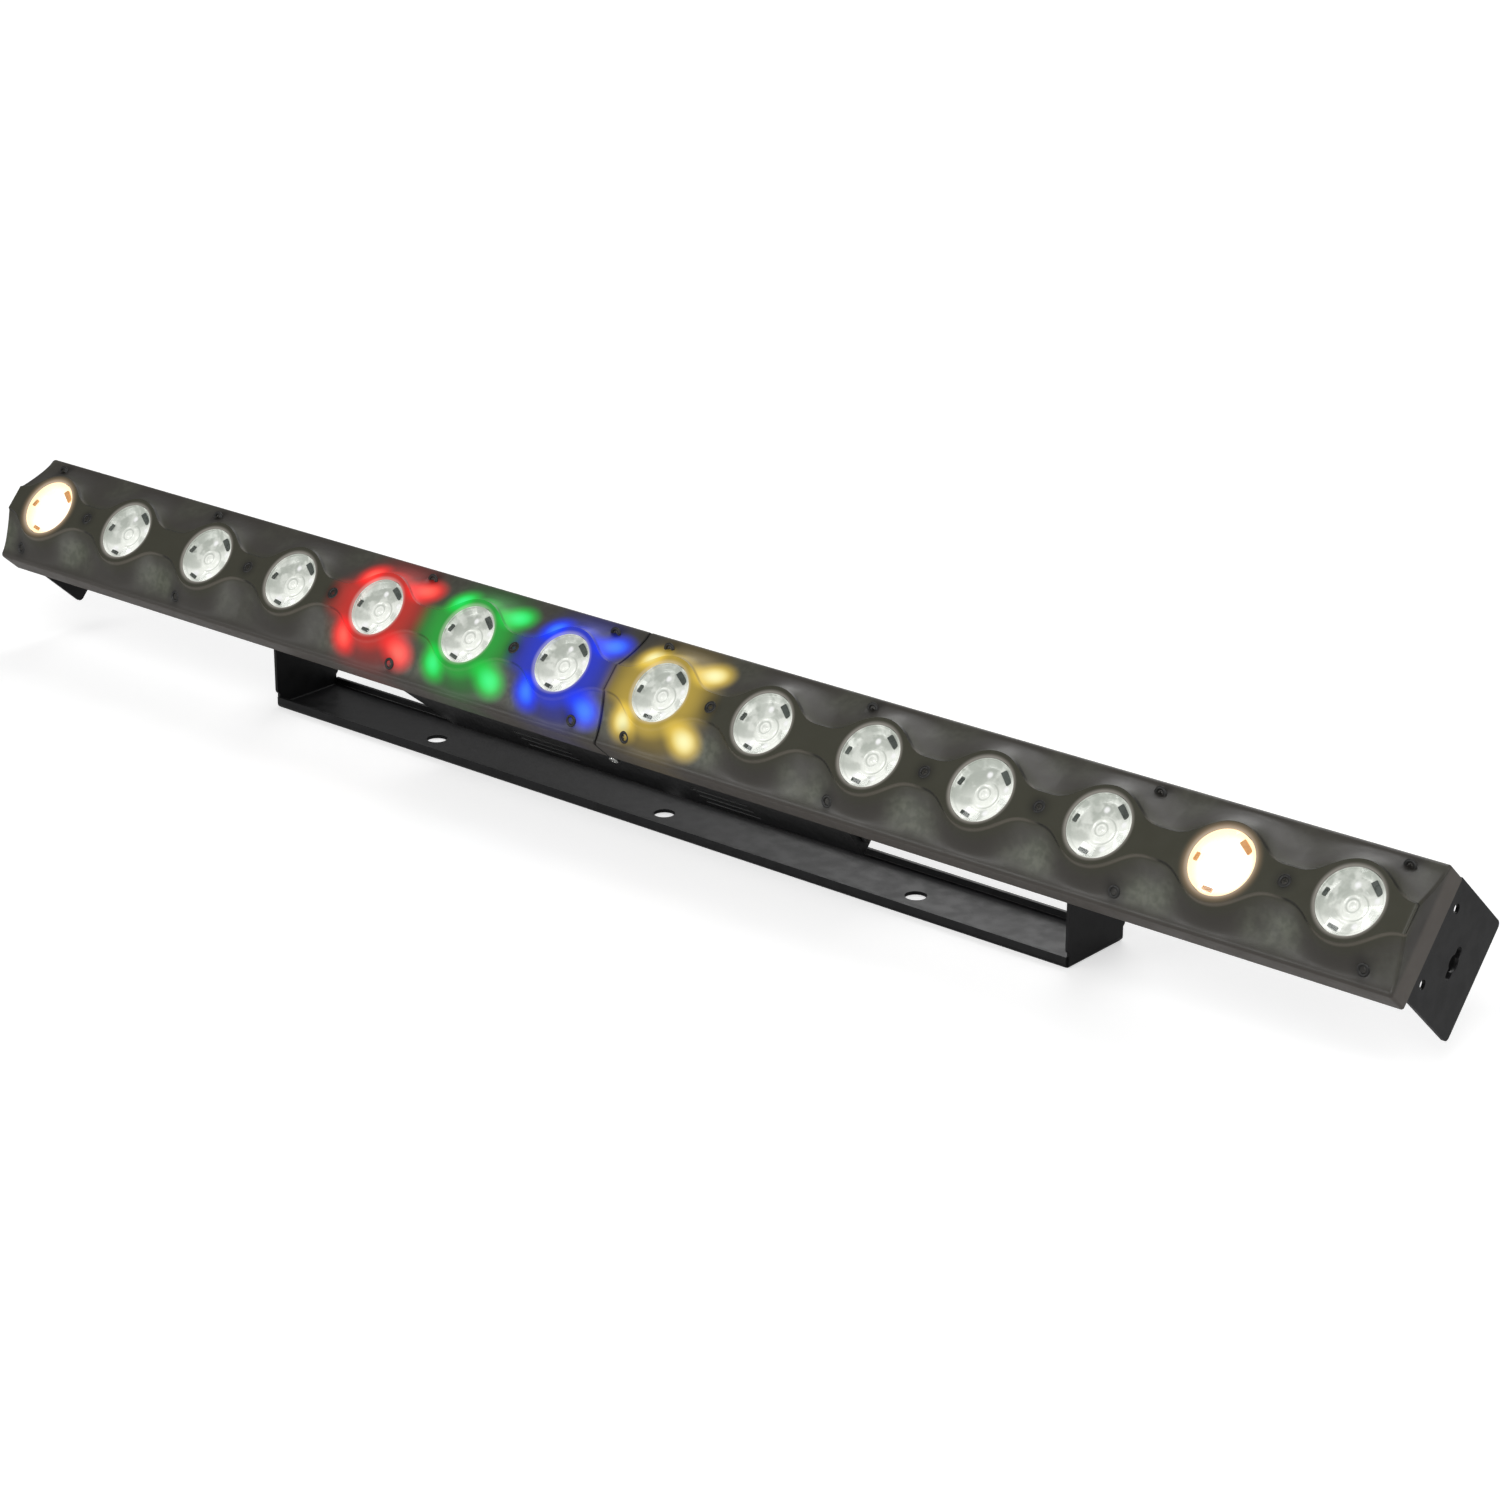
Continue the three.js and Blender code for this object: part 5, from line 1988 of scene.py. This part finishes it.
    def _socket(self, node: str, place: Matrix, contact: float, spread: float, keys: int) -> None:
        """Makes one panel socket.

        Args:
            node: The CAD node it stands for.
            place: Its frame on the box.
            contact: Radius of a contact.
            spread: Radius of the circle the contacts stand on.
            keys: How many keyways its wall has.
        """
        half, front = self.socket_flange / 2, LAYOUT.slack + 2 * MM
        floor = front - self.recess_depth
        shape = Shape().slab(rounded((-half, -half), (half, half), 3 * MM), LAYOUT.slack, front)
        piece = shape.object(node.replace("_socket", "_panel_socket"))
        barrel = Shape().rod(self.socket_radius, (0, 0), -15 * MM, front - 0.5 * MM, segments=64)
        collar = Shape().rod(self.socket_radius + 0.6 * MM, (0, 0), front - 1 * MM,
                             front + 0.9 * MM, segments=64)
        combine(piece, barrel, "UNION")
        combine(piece, collar, "UNION")
        recess = Shape().rod(self.recess_radius, (0, 0), floor, front + 3 * MM, segments=64)
        combine(piece, recess)
        corners = Shape()
        for x, y in self.socket_screws:
            corners.rod(1.7 * MM, (x, y), -1 * MM, front + 1 * MM, segments=24)
        combine(piece, corners)
        self._contacts(piece, floor, contact, spread, keys, node == "signal_out_socket")
        soften(piece, 0.25 * MM, 2, 40)
        self._socket_metal(piece, floor, contact, spread, node == "signal_out_socket")
        finishes = [self.finishes.plastic, self.finishes.brass, self.finishes.blackened]
        install(piece, "bar", finishes, Slot.PLASTIC, [node], BAR.matrix @ place)

    def _contacts(self, piece: Piece, floor: float, contact: float, spread: float,
                  keys: int, sockets: bool) -> None:
        """Adds the core with its bores, or the keyways, to a socket's plastic.

        Args:
            piece: The socket.
            floor: Bottom of its recess.
            contact: Radius of a contact.
            spread: Radius of the circle of contacts.
            keys: How many keyways it has.
            sockets: Whether it has bores and no pins.
        """
        if sockets:
            core = Shape().rod(6.6 * MM, (0, 0), floor - 1 * MM, LAYOUT.slack, segments=48)
            combine(piece, core, "UNION")
            bores = Shape()
            for x, y in arc((0, 0), spread, 90, 330, 2):
                bores.rod(contact, (x, y), floor, 3 * MM, segments=24)
            combine(piece, bores)
        for index in range(keys):
            angle = index * math.tau / keys
            spot = (self.recess_radius * math.cos(angle), self.recess_radius * math.sin(angle))
            key = Shape().rod(1.3 * MM, spot, floor - 1 * MM, LAYOUT.slack + 1 * MM, segments=24)
            combine(piece, key, "UNION")

    def _socket_metal(self, piece: Piece, floor: float, contact: float, spread: float,
                      sockets: bool) -> None:
        """Joins the pins and the flange screws to a socket's mesh.

        Args:
            piece: The socket.
            floor: Bottom of its recess.
            contact: Radius of a contact.
            spread: Radius of the circle of contacts.
            sockets: Whether it has bores and no pins.
        """
        metal = Shape()
        metal.bm.from_mesh(piece.data)
        for face in metal.bm.faces:
            face.material_index = 0
        for x, y in arc((0, 0), spread, 90, 330, 2):
            if sockets:
                outer, inner = contact - 0.05 * MM, contact - 0.45 * MM
                low, high = floor + 0.1 * MM, -0.6 * MM
                sleeve = [(outer, low), (outer, high), (inner, high), (inner, low)]
                metal.use(1).turned(sleeve, (x, y, 0), steps=20, closed=True)
            else:
                tip = floor + 5 * MM
                pin = [(0, floor + 0.02 * MM), (contact, floor + 0.02 * MM),
                       *arc((contact * 0.45, tip - contact * 0.55), contact * 0.55, 0, 90, 4),
                       (0, tip)]
                metal.use(1).turned(pin, (x, y, 0), steps=24)
        edge = arc((2.2 * MM, 2.3 * MM), 0.7 * MM, 0, 90, 4)
        head = [(0, 2.32 * MM), (2.9 * MM, 2.32 * MM), *edge, (0, 3.05 * MM)]
        for spot in self.socket_screws:
            metal.use(2).turned(head, (*spot, 0), steps=24)
        metal.write_to(piece)

    def _screws(self) -> None:
        """Makes the plated screws that hold the box to the tray."""
        depth = LAYOUT.behind_tray - self.screw_depth
        for word, way in (("bottom", -1), ("top", 1)):
            wall = self.half_height + LAYOUT.slack
            edge = arc((2.2 * MM, wall + 0.9 * MM), 0.9 * MM, 0, 90, 6)
            profile = [(0, wall - 6 * MM), (1.5 * MM, wall - 6 * MM), (1.5 * MM, wall),
                       (3.1 * MM, wall), *edge, (0, wall + 1.9 * MM)]
            piece = Shape().turned(profile, steps=40).object(f"box_screw_{word}")
            slot = Shape().slab(cross(0.7 * MM, 3.2 * MM), wall + 0.9 * MM, wall + 3 * MM)
            combine(piece, slot)
            soften(piece, 0.1 * MM, 2)
            turn = Matrix.Rotation(-way * math.pi / 2, 4, "X")
            install(piece, "bar", [self.finishes.plated], Slot.PLATED, [f"centre_screw_{word}"],
                    BAR.matrix @ Matrix.Translation((0, 0, depth)) @ turn)


@dataclass
class EndBrackets:
    """The folded plates at the bar's ends, with their link holes and keyhole."""

    finishes: Finishes
    top: float = 36 * MM
    bottom: float = -29.2 * MM
    depth: float = 57 * MM
    front_half: float = 28.7 * MM
    flange: float = 16.6 * MM
    inset: float = 1.7 * MM
    corner: float = 3 * MM
    hole_radius: float = 2.6 * MM
    hole_depth: float = 10.2 * MM
    holes_up: tuple[float, float] = (22.6 * MM, -17.7 * MM)
    keyhole_depth: float = 30 * MM
    keyhole_up: float = 2 * MM
    keyhole_length: float = 18 * MM
    slot_radius: float = 2.6 * MM
    eye_radius: float = 4.6 * MM

    def build(self, side: Side) -> None:
        """Makes one end bracket.

        Args:
            side: Which end.
        """
        front, sheet = LAYOUT.behind_tray, LAYOUT.sheet
        rear, outer = front - self.depth, LAYOUT.half_length - self.inset
        inner = outer - self.flange
        piece = Shape().slab(rounded((self.bottom, rear), (self.top, front), self.corner),
                             outer - sheet, outer, "x").object(f"end_plate_{side.word}")
        fold = self.corner + sheet
        for low, high, z in ((-self.front_half, self.front_half, front - sheet),
                             (self.bottom + 2 * fold, self.top - fold, rear)):
            combine(piece, Shape().block((inner, low, z), (outer - 0.2 * MM, high, z + sheet)),
                    "UNION")
        across = (outer - 2 * sheet, outer + sheet)
        cuts = Shape()
        for up in self.holes_up:
            cuts.rod(self.hole_radius, (up, front - self.hole_depth), *across, "x")
        depth, half = front - self.keyhole_depth, self.keyhole_length / 2
        cuts.slab(rounded((self.keyhole_up - half, depth - self.slot_radius),
                          (self.keyhole_up + half, depth + self.slot_radius),
                          self.slot_radius * 0.99), *across, "x")
        combine(piece, cuts)
        combine(piece, Shape().rod(self.eye_radius, (self.keyhole_up, depth), *across, "x"))
        soften(piece, 0.3 * MM, 2, 40)
        face_side(piece, side)
        install(piece, "bar", [self.finishes.paint], Slot.PAINT, [f"end_bracket_{side.word}"],
                BAR.matrix)


def face_side(piece: Piece, side: Side) -> None:
    """Mirrors a piece that is drawn for the right side, if it belongs on the left.

    Args:
        piece: The piece.
        side: Where it belongs.
    """
    if side is Side.LEFT:
        piece.data.transform(Matrix.Diagonal((-1, 1, 1, 1)))
        piece.data.flip_normals()


@dataclass
class Pivots:
    """Arms, friction washers, nuts and knobs of the two tilt pivots."""

    finishes: Finishes
    arm_half_height: float = 19 * MM
    arm_behind: float = 13 * MM
    arm_flange: float = 16 * MM
    corner: float = 3 * MM
    stud_radius: float = 4 * MM
    washer_radius: float = 11 * MM
    washer_thickness: float = 1.6 * MM
    knob_radius: float = 15 * MM
    lobe: float = 1.8 * MM
    lobes: int = 6
    knob_thickness: float = 12 * MM

    def build(self, side: Side) -> None:
        """Makes the pieces of one pivot.

        Args:
            side: Which end.
        """
        centre = (0.0, -LAYOUT.pivot_depth)
        self._arm(side, centre)
        self._washer(side, centre)
        nut = refined(f"pivot_nut_{side.word}", f"lock_nut_{side.word}", 0.5 * MM, 3)
        install(nut, "bar", [self.finishes.plated], Slot.PLATED, [f"pivot_nut_{side.word}"])
        self._knob(side, centre)

    def _arm(self, side: Side, centre: Point) -> None:
        """Makes the folded arm that carries the pivot.

        Args:
            side: Which end.
            centre: The pivot's place across the bar.
        """
        x, sheet, front = LAYOUT.ear_x, LAYOUT.sheet, LAYOUT.behind_tray
        half, rear = self.arm_half_height, -LAYOUT.pivot_depth - self.arm_behind
        piece = Shape().slab(rounded((-half, rear), (half, front), self.corner), x - sheet, x,
                             "x").object(f"pivot_arm_{side.word}")
        foot = Shape().block((x - self.arm_flange, -half, front - sheet),
                             (x - 0.2 * MM, half, front))
        combine(piece, foot, "UNION")
        combine(piece, Shape().rod(self.stud_radius + 0.5 * MM, centre, x - 2 * sheet, x + sheet,
                                   "x"))
        soften(piece, 0.35 * MM, 2, 40)
        face_side(piece, side)
        install(piece, "bar", [self.finishes.paint], Slot.PAINT, [f"pivot_ear_{side.word}"],
                BAR.matrix)

    def _washer(self, side: Side, centre: Point) -> None:
        """Makes the friction washer between the arm and the floor bracket.

        Args:
            side: Which end.
            centre: The pivot's place across the bar.
        """
        low = LAYOUT.ear_x + LAYOUT.slack
        high = low + self.washer_thickness
        bore = self.stud_radius + 0.5 * MM
        edge = 0.3 * MM
        rim = self.washer_radius
        profile = [(bore, low), (rim - edge, low), (rim, low + edge), (rim, high - edge),
                   (rim - edge, high), (bore, high)]
        piece = Shape().turned(profile, (0, *centre), "x", closed=True).object(
            f"friction_disc_{side.word}")
        soften(piece, 0)
        face_side(piece, side)
        install(piece, "bar", [self.finishes.plastic], Slot.PLASTIC,
                [f"friction_washer_{side.word}"], BAR.matrix)

    def _knob(self, side: Side, centre: Point) -> None:
        """Makes the lobed knob with its stud.

        Args:
            side: Which end.
            centre: The pivot's place across the bar.
        """
        inner = LAYOUT.stand_length / 2 + LAYOUT.slack
        outline = []
        for index in range(24 * self.lobes):
            angle = index / (24 * self.lobes) * math.tau
            radius = self.knob_radius - self.lobe * (1 - math.cos(self.lobes * angle)) / 2
            outline.append((centre[0] + radius * math.cos(angle),
                            centre[1] + radius * math.sin(angle)))
        outer = inner + self.knob_thickness
        piece = Shape().slab(outline, inner + 3 * MM, outer, "x").object(
            f"tilt_knob_head_{side.word}")
        dish = Shape().turned([(0, outer - 0.9 * MM), (8.2 * MM, outer - 0.9 * MM),
                               (9 * MM, outer + 1 * MM), (0, outer + 1 * MM)],
                              (0, *centre), "x")
        combine(piece, dish)
        boss = Shape().rod(8.5 * MM, centre, inner, inner + 4 * MM, "x", 64)
        combine(piece, boss, "UNION")
        soften(piece, 1.1 * MM, 4, 40)
        self._stud(piece, centre, inner, outer)
        face_side(piece, side)
        install(piece, f"knob_{side.word}", [self.finishes.plastic, self.finishes.plated],
                Slot.PLASTIC, [f"tilt_knob_{side.word}"], BAR.matrix)

    def _stud(self, piece: Piece, centre: Point, inner: float, outer: float) -> None:
        """Joins the threaded stud and the centre plug to the knob's mesh.

        Args:
            piece: The knob.
            centre: The pivot's place across the bar.
            inner: The knob's inner face.
            outer: Its outer face.
        """
        end = LAYOUT.ear_x - LAYOUT.sheet - LAYOUT.slack - 8.5 * MM
        pitch, root = 1.25 * MM, self.stud_radius - 0.55 * MM
        turns = int((inner - end) / pitch)
        thread = [(0.0, end), (root - 0.4 * MM, end)]
        for index in range(turns):
            foot = end + 0.4 * MM + index * pitch
            thread += [(root, foot), (self.stud_radius, foot + pitch * 0.45)]
        thread += [(root, inner + 0.5 * MM), (0.0, inner + 0.5 * MM)]
        shape = Shape()
        shape.bm.from_mesh(piece.data)
        shape.use(1).turned(thread, (0, *centre), "x", steps=32)
        cap = [(0, outer - 1.2 * MM), (4.6 * MM, outer - 1.2 * MM),
               *arc((4.1 * MM, outer - 0.8 * MM), 0.5 * MM, 0, 90, 4), (0, outer - 0.1 * MM)]
        shape.use(0).turned(cap, (0, *centre), "x", steps=40)
        shape.write_to(piece)


@dataclass
class FloorBracket:
    """One folded sheet: a floor with two lips and an upright tab at each end."""

    finishes: Finishes
    width: float = 50 * MM
    front_lip: float = 6.5 * MM
    rear_lip: float = 6 * MM
    bend: float = 2.6 * MM
    lip_end: float = 1.5 * MM
    tab_corner: float = 6 * MM
    tab_above: float = 13 * MM
    hole_radius: float = 6 * MM
    hole_pitch: float = 178 * MM
    hole_forward: float = 3.7 * MM
    bore_radius: float = 4.5 * MM

    def build(self) -> None:
        """Makes the bracket."""
        middle = BAR.origin - BAR.out * LAYOUT.pivot_depth
        half, sheet, side = LAYOUT.stand_length / 2, LAYOUT.sheet, self.width / 2
        inside = half - self.lip_end
        piece = Shape().slab(self._lipped_section(side, sheet), -inside, inside, "x").object(
            "stand_bracket")
        top = LAYOUT.pivot_height + self.tab_above
        root = side - sheet + 0.3 * MM
        strip = Shape().slab(self._strap_section(half, top, sheet), -root, root, "y")
        combine(piece, strip, "UNION")
        low = (-side, self.front_lip + 1.6 * MM)
        for x in (-half, half - sheet):
            plate = Shape().slab(rounded(low, (side, top), self.tab_corner * 0.5), x, x + sheet,
                                 "x")
            combine(piece, plate, "UNION")
        cuts = Shape()
        for index in (-1, 0, 1):
            cuts.rod(self.hole_radius, (index * self.hole_pitch, -self.hole_forward), -1 * MM,
                     sheet + 1 * MM, segments=64)
        cuts.rod(self.bore_radius, (0, LAYOUT.pivot_height), -half - 1 * MM, half + 1 * MM, "x")
        combine(piece, cuts)
        soften(piece, 0.3 * MM, 2, 40)
        install(piece, "stand", [self.finishes.paint], Slot.PAINT, ["floor_bracket"],
                Matrix.Translation((0, middle.y, 0)))

    def _lipped_section(self, side: float, sheet: float) -> list[Point]:
        """The floor with its two lips, across the bar.

        Args:
            side: Half its width.
            sheet: Thickness of the sheet.

        Returns:
            The outline.
        """
        outer, inner = self.bend, self.bend - sheet
        front = arc((-side + outer, outer), outer, 180, 270, 6)
        rear = arc((side - outer, outer), outer, 270, 360, 6)
        rear_inside = arc((side - outer, outer), inner, 360, 270, 4)
        front_inside = arc((-side + outer, outer), inner, 270, 180, 4)
        return [(-side, self.front_lip), *front, *rear, (side, self.rear_lip),
                (side - sheet, self.rear_lip), *rear_inside, *front_inside,
                (-side + sheet, self.front_lip)]

    def _strap_section(self, half: float, top: float, sheet: float) -> list[Point]:
        """The floor folded up into the end tabs, along the bar.

        Args:
            half: Half its length.
            top: Height of the tabs.
            sheet: Thickness of the sheet.

        Returns:
            The outline.
        """
        outer, inner = self.bend, self.bend - sheet
        high = top - self.tab_corner
        right = arc((half - outer, outer), outer, 270, 360, 6)
        right_inside = arc((half - outer, outer), inner, 360, 270, 4)
        left_inside = arc((-half + outer, outer), inner, 270, 180, 4)
        left = arc((-half + outer, outer), outer, 180, 270, 6)
        return [*right, (half, high), (half - sheet, high), *right_inside, *left_inside,
                (-half + sheet, high), (-half, high), *left]


@dataclass
class Inside:
    """Tray, boards, LEDs and supply: sheet work is refined, the rest keeps its CAD mesh."""

    finishes: Finishes

    def build(self) -> None:
        """Dresses everything inside the bar."""
        tray = refined("light_tray", "tray_sheet", 0.25 * MM)
        install(tray, "bar", [self.finishes.paint], Slot.PAINT, ["light_tray"])
        self._dress(("led_board_left", "led_board_right", "control_board"), self.finishes.board)
        self._dress(("power_supply",), self.finishes.supply)
        self._dress((f"emitter_{n:02d}" for n in range(1, 2 * LAYOUT.cells + 1)),
                    self.finishes.led)

    @staticmethod
    def _dress(names: Iterable[str], material: Material) -> None:
        """Gives CAD nodes that stay shown their material.

        Args:
            names: The nodes.
            material: Their material.
        """
        for name in names:
            node = frame["nodes"][name]
            for slot in node.material_slots:
                slot.material = material
            log.info("%s: kept from CAD", name)


# ---- Studio ---------------------------------------------------------------------------------


@dataclass
class Studio:
    """Pale floor, soft lights and the camera."""

    eye: Place = (1.3075, -1.4609, 0.7933)
    look: Place = (-0.6039, 0.7122, -0.3579)
    upward: Place = (-0.2353, 0.2698, 0.9337)
    dim: float = 0.22
    lamps: tuple[tuple[str, Place, float, float], ...] = (
        ("key", (1.1, -1.9, 1.9), 1.6, 36.0),
        ("top", (-0.5, 1.2, 2.3), 1.4, 16.0),
        ("front", (-1.2, -2.3, 0.6), 1.2, 19.0),
        ("side", (2.4, 0.1, 0.9), 1.0, 9.0),
        ("rear", (-0.9, 2.1, 0.85), 1.2, 8.0),
    )
    focal: float = 91.2
    sensor: float = 36.0
    aim: Place = (0, 0, 0.06)
    floor_size: float = 14.0
    floor_drop: float = 0.1 * MM
    white_from: float = 0.9
    white_at: float = 4.0

    def build(self) -> None:
        """Sets up everything round the object."""
        self._camera()
        self._floor()
        self._lights()

    def _camera(self) -> None:
        """Places the camera."""
        data = bpy.data.cameras.new("camera")
        data.lens, data.sensor_width = self.focal, self.sensor
        data.clip_start, data.clip_end = 0.05, 60
        camera = bpy.data.objects.new("camera", data)
        look = Vector(self.look).normalized()
        right = look.cross(Vector(self.upward)).normalized()
        axes = (right, right.cross(look), -look, Vector(self.eye))
        camera.matrix_world = Matrix([[axis[row] for axis in axes] for row in range(3)]
                                     + [[0, 0, 0, 1]])
        bpy.context.scene.collection.objects.link(camera)
        bpy.context.scene.camera = camera

    def _floor(self) -> None:
        """Lays the pale floor, which throws only a little light back at the black steel."""
        shape = Shape()
        bmesh.ops.create_grid(shape.bm, x_segments=1, y_segments=1, size=self.floor_size)
        floor = shape.raw_object("studio_floor")
        floor.data.transform(Matrix.Translation((0, 0, -self.floor_drop)))
        paint = Paint("pale_floor")
        seen = paint.nodes.add("LightPath").outputs["Is Camera Ray"]
        tone = paint.nodes.mix(seen, (0.6, 0.6, 0.6), (0.75, 0.75, 0.75))
        away = paint.nodes.add("VectorMath", operation="LENGTH")
        paint.nodes.feed(away.inputs[0], paint.place)
        far = paint.nodes.ease(away.outputs["Value"], self.white_from, self.white_at)
        white = paint.nodes.mix(far, (0.52, 0.52, 0.52), WHITE)
        lift = paint.nodes.mix(seen, BLACK, white)
        paint.set(Base_Color=tone, Roughness=0.9, Specular_IOR_Level=0.1, Emission_Color=lift,
                  Emission_Strength=1.0)
        floor.data.materials.append(paint.material)

    def _lights(self) -> None:
        """Hangs the soft lights and sets the pale surroundings."""
        world = bpy.data.worlds.new("surroundings")
        bpy.context.scene.world = world
        world.use_nodes = True
        nodes = Nodes(world.node_tree)
        background = world.node_tree.nodes["Background"]
        seen = nodes.add("LightPath").outputs["Is Camera Ray"]
        nodes.feed(background.inputs["Color"], nodes.mix(seen, (self.dim,) * 3, (1, 1, 1)))
        for name, place, size, power in self.lamps:
            data = bpy.data.lights.new(name, "AREA")
            data.size, data.energy = size, power
            light = bpy.data.objects.new(name, data)
            light.location = place
            ray = Vector(self.aim) - Vector(place)
            light.rotation_mode = "QUATERNION"
            light.rotation_quaternion = ray.to_track_quat("-Z", "Y")
            bpy.context.scene.collection.objects.link(light)
        bpy.context.scene.view_settings.view_transform = "Standard"


def main() -> None:
    """Builds the batten, piece by piece, and the studio round it."""
    logging.basicConfig(level=logging.INFO, format="%(name)s: %(message)s")
    Studio().build()
    finishes = Finishes()
    covers = SmokedCovers(finishes, CoverScrews(finishes))
    for side in Side:
        covers.build(side)
        EndBrackets(finishes).build(side)
        Pivots(finishes).build(side)
    LensUnits(finishes).build()
    ElectronicsBox(finishes).build()
    FloorBracket(finishes).build()
    Inside(finishes).build()


if __name__ == "__main__":
    main()
